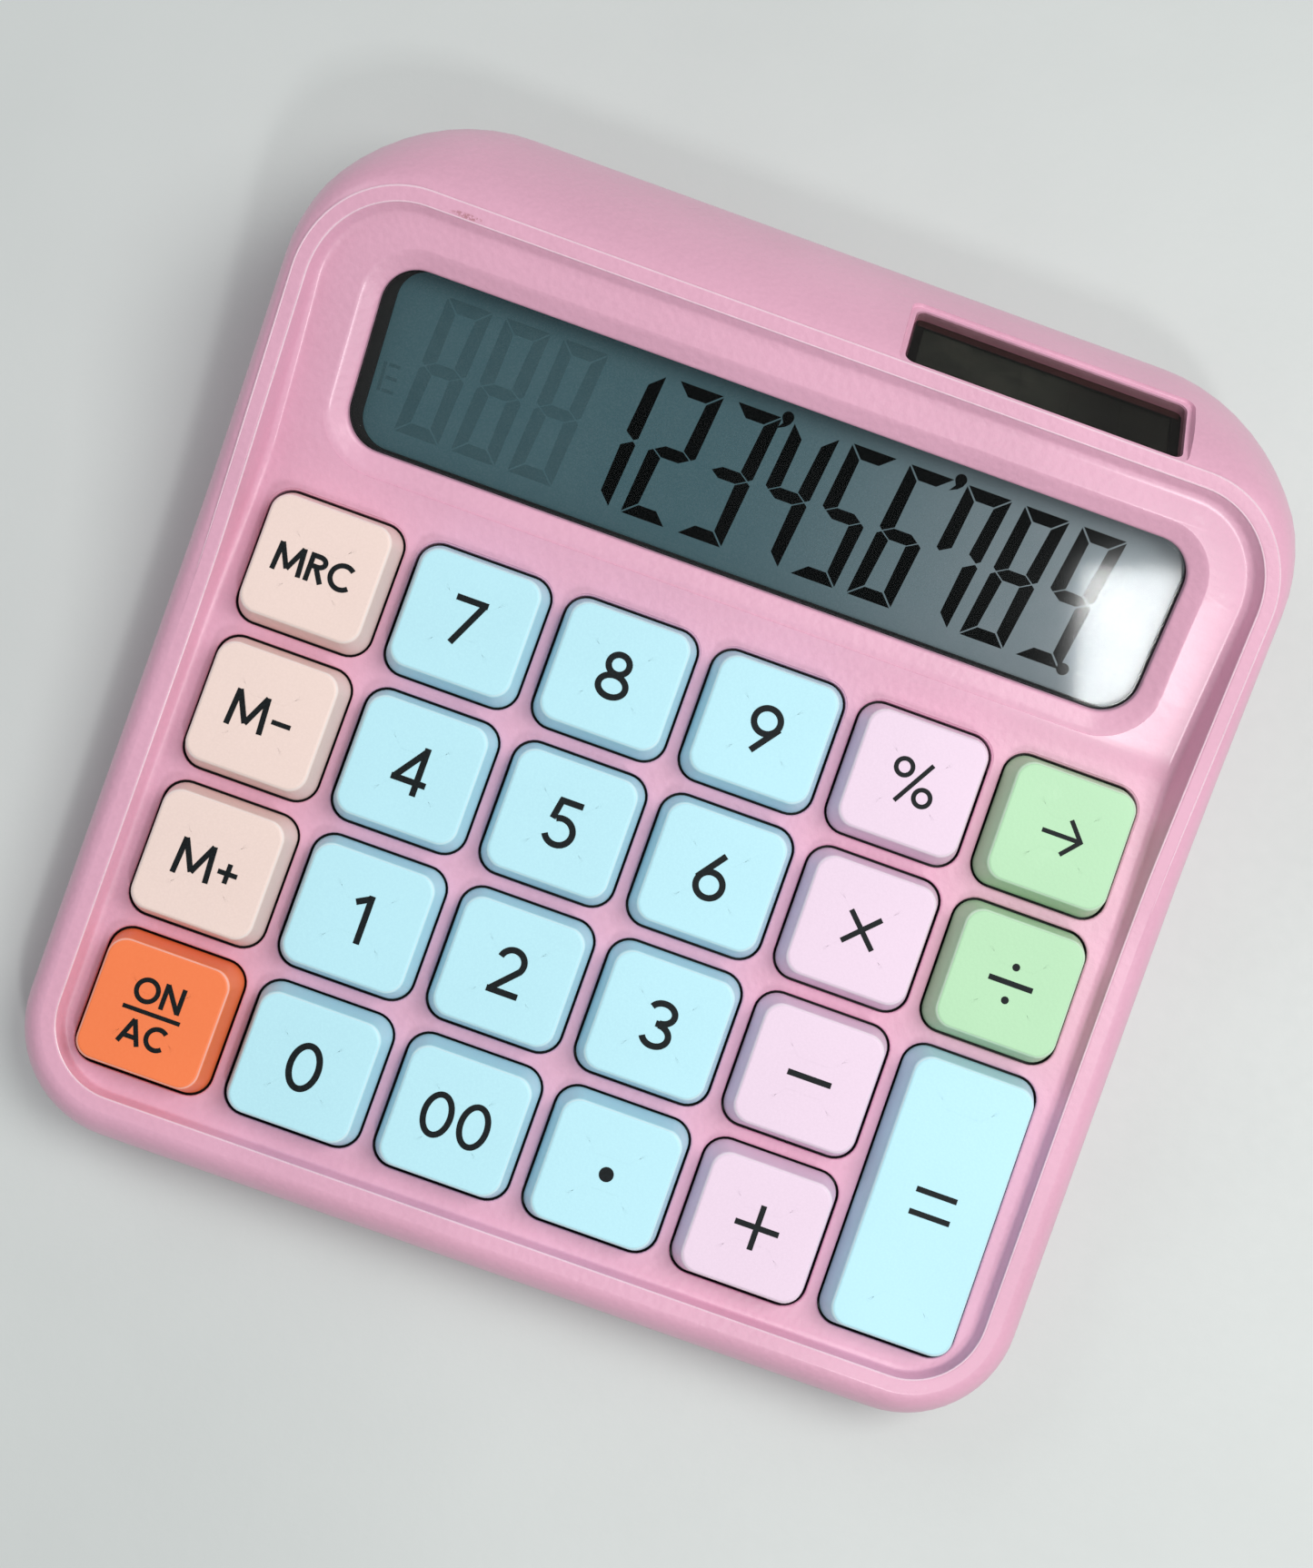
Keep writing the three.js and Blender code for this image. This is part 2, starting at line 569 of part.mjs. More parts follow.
function circuitBoard() {
  const back = boardScrewY + BOARD_BOSS_RADIUS + 0.4;
  const ring = (z) => ({
    half: boardHalfX, front: -boardHalfY, back, frontCorner: BOARD_CORNER, backCorner: 2, z,
  });
  const holes = boardScrews.map((screw) => (
    post(screw.x, boardScrewY, boardLow - 1, boardTop + 1, SCREW_SHANK + FIT, 8)
  ));
  return surface(without(solid(loft([ring(boardLow), ring(boardTop)], 3)), holes));
}

// Drop of black resin over the controller, under the board.
function controllerChip() {
  const profile = [new THREE.Vector2(0, 0)];
  for (let i = 0; i <= 3; i += 1) {
    const angle = i * Math.PI / 6;
    profile.push(new THREE.Vector2(CHIP_RADIUS * Math.cos(angle), CHIP_HEIGHT * Math.sin(angle)));
  }
  profile[profile.length - 1].x = 0;
  const geometry = new THREE.LatheGeometry(profile, 16);
  geometry.rotateX(-Math.PI / 2);
  return geometry;
}

// Pan-head screw, its head down and its tip up; the origin is under the head.
function screw(grip) {
  const head = post(0, 0, -SCREW_HEAD_HEIGHT, 0, SCREW_HEAD, 10);
  const shank = post(0, 0, -0.2, grip, SCREW_SHANK, 6);
  const half = 0.65 * SCREW_HEAD;
  const slotTop = 0.7 - SCREW_HEAD_HEIGHT;
  const slot = block(-half, half, -SCREW_SLOT / 2, SCREW_SLOT / 2, -SCREW_HEAD_HEIGHT - 1, slotTop);
  const cross = slot.clone().rotateZ(Math.PI / 2);
  return surface(without(joined([head, shank]), [slot, cross]));
}

// ---------------------------------------------------------------- display pieces

const lensSeat = -RECESS_DEPTH - WINDOW_LIP - FIT;
const gasketTop = lensSeat - LENS_FLANGE_THICKNESS - FIT;
const lcdTop = gasketTop - GASKET_THICKNESS - FIT;

function displayLens() {
  const ring = (grow, z) => centred(windowHalf + grow, windowHalfY + grow, WINDOW_CORNER + grow, z);
  return loft([
    ring(LENS_FLANGE, lensSeat - LENS_FLANGE_THICKNESS),
    ring(LENS_FLANGE, lensSeat),
    ring(-FIT, lensSeat),
    ring(-FIT, -RECESS_DEPTH - 0.2),
    ring(-FIT - 0.2, -RECESS_DEPTH),
  ], 3);
}

function lcdGasket() {
  const halfX = windowHalf + LENS_FLANGE;
  const halfY = windowHalfY + LENS_FLANGE;
  const corner = WINDOW_CORNER + LENS_FLANGE;
  const sheet = plateBlock(halfX, halfY, corner, gasketTop - GASKET_THICKNESS, gasketTop);
  const opening = {
    half: windowHalf - (GASKET_LEFT + GASKET_RIGHT) / 2,
    front: -windowHalfY + GASKET_FRONT,
    back: windowHalfY - GASKET_BACK,
    frontCorner: WINDOW_CORNER - 1,
    backCorner: WINDOW_CORNER - 1,
  };
  const cut = loft([{ ...opening, z: -12 }, { ...opening, z: 0 }], 3);
  return surface(without(solid(sheet), [cut.translate((GASKET_LEFT - GASKET_RIGHT) / 2, 0, 0)]));
}

function lcdGlass() {
  const halfX = windowHalf + LENS_FLANGE - 0.5;
  const halfY = windowHalfY + LENS_FLANGE - 0.5;
  return plateBlock(halfX, halfY, 0.8, lcdTop - LCD_THICKNESS, lcdTop, 2);
}

// Flat ribbon from under the display to the back edge of the board, drawn in the table's frame.
function lcdRibbon() {
  const lcdEdge = new THREE.Vector3(0, -windowHalfY + 2, lcdTop - LCD_THICKNESS - FIT - RIBBON_THICKNESS)
    .applyMatrix4(displayFrame);
  const lcdExit = new THREE.Vector3(0, -windowHalfY - 1, lcdTop - LCD_THICKNESS - 1.2)
    .applyMatrix4(displayFrame);
  const boardEdge = boardScrewY + BOARD_BOSS_RADIUS;
  const boardExit = new THREE.Vector3(0, boardEdge + 3, boardTop + 1).applyMatrix4(plateFrame);
  const boardEnd = new THREE.Vector3(0, boardEdge - 0.4, boardTop + FIT).applyMatrix4(plateFrame);
  const line = [lcdEdge, lcdExit, boardExit, boardEnd];
  const shape = new THREE.Shape();
  shape.moveTo(line[0].y, line[0].z);
  line.slice(1).forEach((point) => shape.lineTo(point.y, point.z));
  line.slice().reverse().forEach((point) => shape.lineTo(point.y, point.z + RIBBON_THICKNESS));
  const geometry = new THREE.ExtrudeGeometry(shape, { depth: RIBBON_WIDTH, bevelEnabled: false });
  geometry.applyMatrix4(new THREE.Matrix4().set(0, 0, 1, -RIBBON_WIDTH / 2, 1, 0, 0, 0, 0, 1, 0, 0, 0, 0, 0, 1));
  return geometry;
}

// ---------------------------------------------------------------- solar cell and battery pieces

const solarWindow = () => plateBlock(
  SOLAR_LENGTH / 2, SOLAR_WIDTH / 2, 0.6, -SOLAR_WINDOW_THICKNESS, 0, 2,
);

function solarCell() {
  const top = -SOLAR_WINDOW_THICKNESS - FIT;
  const inset = SOLAR_LEDGE + FIT;
  const halfX = SOLAR_LENGTH / 2 - inset;
  const halfY = SOLAR_WIDTH / 2 - inset;
  return plateBlock(halfX, halfY, 0.3, top - SOLAR_CELL_THICKNESS, top, 1);
}

const batteryLeft = -(BATTERY_LENGTH + SPRING_LENGTH) / 2 + SPRING_LENGTH;

// Battery along X: the flat end on the left, the button on the right.
function batteryCell() {
  const radius = BATTERY_DIAMETER / 2;
  const length = BATTERY_LENGTH - BATTERY_BUTTON;
  const profile = [
    [0, 0], [radius - 0.4, 0], [radius, 0.4], [radius, length - 0.4], [radius - 0.4, length],
    [0.37 * radius, length], [0.37 * radius, BATTERY_LENGTH], [0, BATTERY_LENGTH],
  ].map(([x, y]) => new THREE.Vector2(x, y));
  const geometry = new THREE.LatheGeometry(profile, 16);
  geometry.rotateZ(-Math.PI / 2);
  return geometry.translate(batteryLeft, wellY, batteryZ);
}

function contactPlate(x) {
  const half = BATTERY_DIAMETER / 2 - 0.4;
  return block(x, x + CONTACT_THICKNESS, wellY - half, wellY + half, batteryZ - half, batteryZ + half);
}

// Conical spring that presses on the battery's flat end.
function contactSpring() {
  const turns = 3;
  const steps = 7;
  const points = [];
  const length = SPRING_LENGTH - 2 * FIT - 2 * SPRING_WIRE - FIT;
  for (let i = 0; i <= turns * steps; i += 1) {
    const share = i / (turns * steps);
    const angle = i * 2 * Math.PI / steps;
    const radius = 3.8 - 1.6 * share;
    points.push(new THREE.Vector3(share * length, radius * Math.cos(angle), radius * Math.sin(angle)));
  }
  const path = new THREE.CatmullRomCurve3(points);
  const section = new THREE.Shape();
  section.absarc(0, 0, SPRING_WIRE, 0, 2 * Math.PI, false);
  const geometry = new THREE.ExtrudeGeometry(section, {
    steps: turns * steps, extrudePath: path, curveSegments: 4, bevelEnabled: false,
  });
  return geometry.translate(batteryLeft - SPRING_LENGTH + 2 * FIT + SPRING_WIRE, wellY, batteryZ);
}

// ---------------------------------------------------------------- finishes

const finish = (color, roughness = 0.5, metalness = 0) => (
  new THREE.MeshStandardMaterial({ color, roughness, metalness })
);
const PINK = finish(0xd696b2, 0.45);
const KEY_FINISH = {
  memory: finish(0xf0d7cd, 0.5),
  digit: finish(0xb4e2f2, 0.5),
  sign: finish(0xe6cfe1, 0.5),
  green: finish(0xb2deb0, 0.5),
  power: finish(0xfa8250, 0.5),
};
const CLEAR = finish(0xdfe6e6, 0.08);
const GLASS = finish(0x5a6a70, 0.2);
const BLACK = finish(0x17181a, 0.6);
const CELL = finish(0x2a2a26, 0.3);
const BOARD = finish(0x2f6b45, 0.5);
const SILICONE = finish(0xd9d9d2, 0.7);
const STEEL = finish(0xb8b8b8, 0.3, 1);
const RIBBON = finish(0xc98a2b, 0.4);
const BATTERY = finish(0x3c4652, 0.4, 0.3);

// ---------------------------------------------------------------- assembly

function named(name, geometry, material) {
  const mesh = new THREE.Mesh(geometry, material);
  mesh.name = name;
  return mesh;
}

function frameGroup(frame) {
  const group = new THREE.Group();
  group.applyMatrix4(frame);
  return group;
}

const calculator = new THREE.Group();
calculator.position.y = -caseMiddle;

calculator.add(named("top_shell", topShell(), PINK));
calculator.add(named("bottom_shell", bottomShell(), PINK));
calculator.add(named("battery_door", batteryDoor(), PINK));

feet.forEach((foot) => {
  const mesh = named(foot.name, post(0, 0, 0, FOOT_HEIGHT, FOOT_RADIUS, 16), BLACK);
  mesh.position.set(foot.x, foot.y, 0);
  calculator.add(mesh);
});

const caseScrewGrip = POST_LAND + 3 * FIT + SCREW_BITE;
caseScrews.forEach((place) => {
  const mesh = named(`case_screw_${place.name}`, screw(caseScrewGrip), STEEL);
  mesh.position.set(place.x, place.y, place.joint - POST_LAND - FIT);
  calculator.add(mesh);
});

const keyPlate = frameGroup(plateFrame);
keys.forEach((key) => {
  const mesh = named(key.name, keyCap(key), KEY_FINISH[key.finish]);
  mesh.position.set(key.x, key.y, 0);
  keyPlate.add(mesh);
});
keyPlate.add(named("dome_mat", domeMat(), SILICONE));
keyPlate.add(named("circuit_board", circuitBoard(), BOARD));
const chip = named("controller_chip", controllerChip(), BLACK);
chip.position.set(0, gridHalfY / 2, boardLow - FIT);
keyPlate.add(chip);
boardScrews.forEach((place) => {
  const mesh = named(`board_screw_${place.name}`, screw(BOARD_THICKNESS + 2 * FIT + SCREW_BITE), STEEL);
  mesh.position.set(place.x, boardScrewY, boardLow - FIT);
  keyPlate.add(mesh);
});
calculator.add(keyPlate);

const display = frameGroup(displayFrame);
display.add(named("display_lens", displayLens(), CLEAR));
display.add(named("lcd_gasket", lcdGasket(), BLACK));
display.add(named("lcd_glass", lcdGlass(), GLASS));
calculator.add(display);
calculator.add(named("lcd_ribbon", lcdRibbon(), RIBBON));

const solar = frameGroup(solarFrame);
solar.add(named("solar_window", solarWindow(), CLEAR));
solar.add(named("solar_cell", solarCell(), CELL));
calculator.add(solar);

calculator.add(named("battery_cell", batteryCell(), BATTERY));
calculator.add(named("battery_spring", contactSpring(), STEEL));
calculator.add(named("battery_plate", contactPlate(batteryLeft + BATTERY_LENGTH + FIT), STEEL));

export default calculator;
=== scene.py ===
"""Desk calculator with a pink wedge case, a sloping display, a solar window and 23 push keys."""

import math

import bpy
from bpy.props import FloatProperty, FloatVectorProperty, PointerProperty
from mathutils import Matrix, Vector


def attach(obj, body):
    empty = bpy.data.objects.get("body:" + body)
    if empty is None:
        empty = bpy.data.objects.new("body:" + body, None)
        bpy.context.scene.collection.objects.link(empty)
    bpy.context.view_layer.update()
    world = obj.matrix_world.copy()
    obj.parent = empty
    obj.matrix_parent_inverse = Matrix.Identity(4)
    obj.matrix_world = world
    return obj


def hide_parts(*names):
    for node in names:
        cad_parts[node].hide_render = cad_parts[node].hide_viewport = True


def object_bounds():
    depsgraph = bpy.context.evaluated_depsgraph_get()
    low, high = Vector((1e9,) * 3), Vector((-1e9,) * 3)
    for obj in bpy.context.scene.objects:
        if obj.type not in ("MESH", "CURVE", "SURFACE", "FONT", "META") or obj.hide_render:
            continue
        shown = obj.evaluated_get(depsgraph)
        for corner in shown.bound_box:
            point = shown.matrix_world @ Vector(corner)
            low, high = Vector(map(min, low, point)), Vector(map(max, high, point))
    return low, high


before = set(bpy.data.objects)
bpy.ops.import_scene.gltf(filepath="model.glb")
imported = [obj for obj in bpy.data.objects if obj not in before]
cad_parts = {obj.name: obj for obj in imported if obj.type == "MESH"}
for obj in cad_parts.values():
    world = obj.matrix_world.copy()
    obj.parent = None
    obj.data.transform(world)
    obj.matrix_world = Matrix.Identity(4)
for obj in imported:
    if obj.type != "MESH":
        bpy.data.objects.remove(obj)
CAD_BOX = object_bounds()

bl_info = {
    "name": "Desk Calculator",
    "version": (1, 0, 0),
    "blender": (4, 5, 0),
    "location": "View3D > Sidebar > Calculator",
    "description": "Builds the looks of a desk calculator around its packed frame",
    "category": "Object",
}

DEG = math.pi / 180
MM = 0.001

# ---------------------------------------------------------------- layout, in millimetres
# y runs from the middle of the key grid towards the display, z up from the table.

PITCH_X, PITCH_Y = 22.5, 22.2
COLUMNS, ROWS = 6, 4
RIB = 1.85
KEY_GAP = 0.35
OPENING_CORNER = 3.5
KEY_RISE = 5.0
KEY_LEAN = 0.95
KEY_EDGE = 0.45
FLANGE = 0.55
FLANGE_DEPTH = 1.25
KEY_WALL = 1.4
KEY_ROOF = 1.8
KEY_STEM = 2.2

PLATE_TILT = 5 * DEG
DISPLAY_TILT = 25 * DEG
PLATE_HEIGHT = 17.5
PLATE_THICKNESS = 2.0
CASE_WALL = 2.2
FACE_SIDE, FACE_FRONT = 2.6, 2.6
BEND_MARGIN = 3.4
BEND_SOFTNESS = 1.2
RIM_HEIGHT = 2.0
WALL_RUN = 1.4
CREST = 1.8
FLANK = 3.9
BACK_FLANK = 19.8
NARROWING, NARROWING_START = 0.00016, 25.0
LIFT_START = 19.0
LIFT_TILT = 17.6 * DEG
LIFT_SOFTNESS = 4.0
FRONT_CORNER, BACK_CORNER = 9.5, 12.0
CORNER_GROWTH = 8.0
PARTING_DROP = 5.5
SEAM = 0.3
TONGUE_HEIGHT, TONGUE_WIDTH = 1.6, 1.2
FLOOR_LOW, FLOOR_THICKNESS = 1.0, 2.2
UNDERCUT_SIDE, UNDERCUT_BACK = 3.2, 12.0
LOWER_EDGE = 1.4

WINDOW_HEIGHT = 26.6
WINDOW_SIDE, WINDOW_FRONT, WINDOW_BACK = 8.85, 5.4, 6.8
WINDOW_CORNER = 5.6
BORDER, BORDER_DEPTH = 2.6, 1.0
WINDOW_LIP = 1.2
LENS_FLANGE, LENS_FLANGE_THICKNESS = 1.7, 0.9
FRAME_BORDER = 4.2
GASKET = 0.5
GASKET_LEFT, GASKET_FRONT, GASKET_RIGHT, GASKET_BACK = 1.7, 0.3, 0.1, 0.1

SOLAR_LENGTH, SOLAR_WIDTH = 40.5, 12.3
SOLAR_TILT = 35 * DEG
SOLAR_RIGHT = 7.85
SOLAR_BACK, SOLAR_DROP = 6.0, 4.3
SOLAR_CORNER = 1.2
SOLAR_BORDER = 1.1
SOLAR_GLASS = 1.3
SOLAR_LEDGE = 1.2
SOLAR_CELL = 1.1

FIT = 0.3
BOSS_RADIUS, POST_RADIUS, POST_LAND = 2.0, 2.9, 3.0
SHANK, HEAD, HEAD_HEIGHT = 1.1, 2.1, 1.5
FRONT_POST_OFFSET = 0.9
BATTERY_LENGTH, BATTERY_DIAMETER = 44.5, 10.5
SPRING_LENGTH, CONTACT = 4.5, 0.5
WELL_WALL = 1.5
DOOR_THICKNESS, DOOR_LIP = 1.5, 2.5
FOOT_RADIUS, FOOT_HEIGHT, FOOT_INSET = 5.0, 1.6, 11.0

HOLE_X, HOLE_Y = PITCH_X - RIB, PITCH_Y - RIB
GRID_X, GRID_Y = (COLUMNS - 1) * PITCH_X / 2, (ROWS - 1) * PITCH_Y / 2
FACE_HALF = GRID_X + HOLE_X / 2 + FACE_SIDE
FACE_LOW = -(GRID_Y + HOLE_Y / 2 + FACE_FRONT) * math.cos(PLATE_TILT)
BEND = (GRID_Y + HOLE_Y / 2 + BEND_MARGIN) * math.cos(PLATE_TILT)
FACE_HIGH = BEND + (WINDOW_FRONT + WINDOW_HEIGHT + WINDOW_BACK) * math.cos(DISPLAY_TILT)
RIM_RUN = WALL_RUN + CREST
RIDGE = FACE_HIGH + RIM_RUN
CASE_HALF = FACE_HALF + RIM_RUN + FLANK
CASE_FRONT = FACE_LOW - RIM_RUN - FLANK
CASE_BACK = RIDGE + BACK_FLANK
CASE_MIDDLE = (CASE_FRONT + CASE_BACK) / 2


def soft_ramp(t, slope, softness):
    """A slope that starts softly at t = 0."""
    return slope * (t + math.sqrt(t * t + 4 * softness * softness)) / 2


def plate_z(y):
    return PLATE_HEIGHT + y * math.tan(PLATE_TILT)


def face_z(y):
    slope = math.tan(DISPLAY_TILT) - math.tan(PLATE_TILT)
    return plate_z(y) + soft_ramp(y - BEND, slope, BEND_SOFTNESS)


def parting_z(y):
    return plate_z(y) - PARTING_DROP


def rim_z(y):
    held = min(y, RIDGE)
    slope = math.tan(LIFT_TILT) - math.tan(PLATE_TILT)
    return plate_z(held) + RIM_HEIGHT + soft_ramp(held - BEND + LIFT_START, slope, LIFT_SOFTNESS)


def narrowing(y):
    return 1 - NARROWING * max(0.0, NARROWING_START - y)


def sloped(x, y, z, tilt):
    return Matrix.Translation((x, y, z)) @ Matrix.Rotation(tilt, 4, "X")


WINDOW_X, WINDOW_Y = FACE_HALF - WINDOW_SIDE, WINDOW_HEIGHT / 2
WINDOW_RUN = (WINDOW_FRONT + WINDOW_Y) * math.cos(DISPLAY_TILT)
PLATE = sloped(0, 0, PLATE_HEIGHT, PLATE_TILT)
DISPLAY = sloped(0, BEND + WINDOW_RUN, plate_z(BEND) + WINDOW_RUN * math.tan(DISPLAY_TILT), DISPLAY_TILT)
SOLAR_X = WINDOW_X - SOLAR_RIGHT - SOLAR_LENGTH / 2
SOLAR = sloped(SOLAR_X, RIDGE + SOLAR_BACK, rim_z(RIDGE) - SOLAR_DROP, -SOLAR_TILT)

FLANGE_LOW = -PLATE_THICKNESS - FIT - FLANGE_DEPTH
LENS_SEAT = -BORDER_DEPTH - WINDOW_LIP - FIT
GASKET_TOP = LENS_SEAT - LENS_FLANGE_THICKNESS - FIT
LCD_TOP = GASKET_TOP - GASKET - FIT

BACK_SCREW_X = GRID_X + 2
SCREWS = [
    (side * x, y, f"case_screw_{name}_{hand}")
    for x, y, name in (
        (PITCH_X * 1.75, FACE_LOW - FRONT_POST_OFFSET, "front"),
        (FACE_HALF + FIT, BEND - 25, "middle"),
        (BACK_SCREW_X, RIDGE - 2, "back"),
    )
    for side, hand in ((-1, "left"), (1, "right"))
]
WELL_X = (BATTERY_LENGTH + SPRING_LENGTH + 2 * CONTACT) / 2 + 3 * FIT
WELL_Y = BATTERY_DIAMETER / 2 + 2 * FIT
WELL_MIDDLE = CASE_BACK - UNDERCUT_BACK - WELL_Y - 13
WELL_TOP = FLOOR_LOW + DOOR_THICKNESS + 2 * FIT + BATTERY_DIAMETER + 2 * FIT
DOOR_X = (BATTERY_LENGTH + SPRING_LENGTH) / 2 + WELL_WALL + DOOR_LIP
DOOR_FRONT = WELL_MIDDLE - WELL_Y - DOOR_LIP
DOOR_BACK = CASE_BACK - UNDERCUT_BACK - 1.5
FOOT_X = CASE_HALF - UNDERCUT_SIDE - FOOT_INSET
FEET = [
    (side * FOOT_X, y, f"foot_{name}_{hand}")
    for y, name in (
        (CASE_FRONT + UNDERCUT_SIDE + FOOT_INSET, "front"),
        (CASE_BACK - UNDERCUT_BACK - 1.6 * FOOT_INSET, "back"),
    )
    for side, hand in ((-1, "left"), (1, "right"))
]

# Name, column, row, finish, label and rows taken.
KEYS = [
    ("key_mrc", 0, 0, "cream", "MRC", 1),
    ("key_7", 1, 0, "blue", "7", 1),
    ("key_8", 2, 0, "blue", "8", 1),
    ("key_9", 3, 0, "blue", "9", 1),
    ("key_percent", 4, 0, "lilac", "%", 1),
    ("key_backspace", 5, 0, "green", "arrow", 1),
    ("key_m_minus", 0, 1, "cream", "M-", 1),
    ("key_4", 1, 1, "blue", "4", 1),
    ("key_5", 2, 1, "blue", "5", 1),
    ("key_6", 3, 1, "blue", "6", 1),
    ("key_multiply", 4, 1, "lilac", "times", 1),
    ("key_divide", 5, 1, "green", "divide", 1),
    ("key_m_plus", 0, 2, "cream", "M+", 1),
    ("key_1", 1, 2, "blue", "1", 1),
    ("key_2", 2, 2, "blue", "2", 1),
    ("key_3", 3, 2, "blue", "3", 1),
    ("key_minus", 4, 2, "lilac", "minus", 1),
    ("key_equals", 5, 2, "blue", "equals", 2),
    ("key_on_ac", 0, 3, "orange", "ON/AC", 1),
    ("key_0", 1, 3, "blue", "0", 1),
    ("key_00", 2, 3, "blue", "00", 1),
    ("key_point", 3, 3, "blue", "point", 1),
    ("key_plus", 4, 3, "lilac", "plus", 1),
]


def key_place(column, row, rows):
    """Middle of a key and the half sizes of its opening, in the key plate's frame."""
    x = column * PITCH_X - GRID_X
    y = GRID_Y - (row + (rows - 1) / 2) * PITCH_Y
    return x, y, HOLE_X / 2, HOLE_Y / 2 + (rows - 1) * PITCH_Y / 2


# ---------------------------------------------------------------- shapes
# A shape is a list of points in millimetres and a list of faces.

def ring(half, front, back, front_corner, back_corner, z, narrowed=False):
    return dict(half=half, front=front, back=back, front_corner=front_corner,
                back_corner=back_corner, z=z, narrowed=narrowed)


def centred(half_x, half_y, corner, z):
    return ring(half_x, -half_y, half_y, corner, corner, z)


def half_outline(r, steps, levels):
    """Right half of a rounded outline, from the front to the back."""
    points = []
    for i in range(steps + 1):
        a = -math.pi / 2 + i * math.pi / 2 / steps
        points.append((r["half"] - r["front_corner"] * (1 - math.cos(a)),
                       r["front"] + r["front_corner"] * (1 + math.sin(a))))
    points += [(r["half"], level) for level in levels]
    for i in range(steps + 1):
        a = i * math.pi / 2 / steps
        points.append((r["half"] - r["back_corner"] * (1 - math.cos(a)),
                       r["back"] - r["back_corner"] * (1 - math.sin(a))))
    return [(x * narrowing(y), y) for x, y in points] if r["narrowed"] else points


def loft(rings, steps=8, levels=(), strips=True):
    """Closed shape through a stack of rings, from the lowest to the highest."""
    points, faces = [], []
    for r in rings:
        right = half_outline(r, steps, levels)
        height = r["z"] if callable(r["z"]) else (lambda y, z=r["z"]: z)
        points += [(x, y, height(y)) for x, y in right]
        points += [(-x, y, height(y)) for x, y in reversed(right)]
    count = len(points) // len(rings) // 2
    around = 2 * count
    for k in range(len(rings) - 1):
        for i in range(around):
            j = (i + 1) % around
            low, high = k * around, (k + 1) * around
            faces.append((low + i, low + j, high + j, high + i))
    top = (len(rings) - 1) * around
    if strips:
        for i in range(count - 1):
            j = around - 1 - i
            faces.append((i, j, j - 1, i + 1))
            faces.append((top + i, top + i + 1, top + j - 1, top + j))
    else:
        faces.append(tuple(reversed(range(around))))
        faces.append(tuple(range(top, top + around)))
    return points, faces


def eased(corners, radius, steps=4):
    """A profile with each inner corner rounded; radius is a number or one for each inner corner."""
    radii = radius if isinstance(radius, (list, tuple)) else [radius] * (len(corners) - 2)
    points = [Vector(corners[0])]
    for i in range(1, len(corners) - 1):
        before, corner, after = (Vector(corners[i + k]) for k in (-1, 0, 1))
        reach = min(radii[i - 1], (before - corner).length * 0.49, (after - corner).length * 0.49)
        a = corner + (before - corner).normalized() * reach
        b = corner + (after - corner).normalized() * reach
        for k in range(steps + 1):
            t = k / steps
            points.append(a * (1 - t) ** 2 + corner * (2 * t * (1 - t)) + b * t ** 2)
    points.append(Vector(corners[-1]))
    return points


def block(x0, x1, y0, y1, z0, z1):
    points = [(x, y, z) for z in (z0, z1) for x, y in ((x0, y0), (x1, y0), (x1, y1), (x0, y1))]
    faces = [(3, 2, 1, 0), (4, 5, 6, 7)] + [(i, (i + 1) % 4, (i + 1) % 4 + 4, i + 4) for i in range(4)]
    return points, faces


def turned_profile(profile, sides, x=0.0, y=0.0):
    """Solid of revolution about an upright line; the profile runs (radius, z) from low to high."""
    points, faces = [], []
    turns = [2 * math.pi * i / sides for i in range(sides)]
    rows = [(r, z) for r, z in profile if r > 1e-6]
    for r, z in rows:
        points += [(x + r * math.cos(a), y + r * math.sin(a), z) for a in turns]
    for k in range(len(rows) - 1):
        for i in range(sides):
            j = (i + 1) % sides
            faces.append((k * sides + i, k * sides + j, (k + 1) * sides + j, (k + 1) * sides + i))
    faces.append(tuple(reversed(range(sides))))
    top = (len(rows) - 1) * sides
    faces.append(tuple(range(top, top + sides)))
    return points, faces


def post(x, y, low, high, radius, sides=24):
    return turned_profile([(radius, low), (radius, high)], sides, x, y)


def moved(shape, matrix):
    return [tuple(matrix @ Vector(p)) for p in shape[0]], shape[1]


def shifted(shape, x, y, z=0.0):
    return [(a + x, b + y, c + z) for a, b, c in shape[0]], shape[1]


def gathered(shapes):
    """Several shapes that don't touch, as one."""
    points, faces = [], []
    for p, f in shapes:
        start = len(points)
        points += p
        faces += [tuple(start + i for i in face) for face in f]
    return points, faces


def as_mesh(name, shape):
    """A Blender mesh in metres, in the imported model's frame."""
    mesh = bpy.data.meshes.new(name)
    mesh.from_pydata([(x * MM, (y - CASE_MIDDLE) * MM, z * MM) for x, y, z in shape[0]], [], shape[1])
    mesh.validate()
    mesh.update()
    return mesh


def carved(name, base, steps):
    """The base shape after a list of (UNION, DIFFERENCE or INTERSECT, shape), as a mesh."""
    scene = bpy.context.scene.collection
    whole = bpy.data.objects.new(name, as_mesh(name, base))
    scene.objects.link(whole)
    tools = []
    for operation, shape in steps:
        tool = bpy.data.objects.new(name + "_tool", as_mesh(name + "_tool", shape))
        scene.objects.link(tool)
        tools.append(tool)
        cut = whole.modifiers.new(operation, "BOOLEAN")
        cut.operation, cut.object, cut.solver = operation, tool, "MANIFOLD"
    depsgraph = bpy.context.evaluated_depsgraph_get()
    mesh = bpy.data.meshes.new_from_object(whole.evaluated_get(depsgraph))
    for thing in [whole, *tools]:
        old = thing.data
        bpy.data.objects.remove(thing)
        bpy.data.meshes.remove(old)
    if not mesh.polygons:
        raise RuntimeError(f"{name} came out empty")
    mesh.name = name
    return mesh


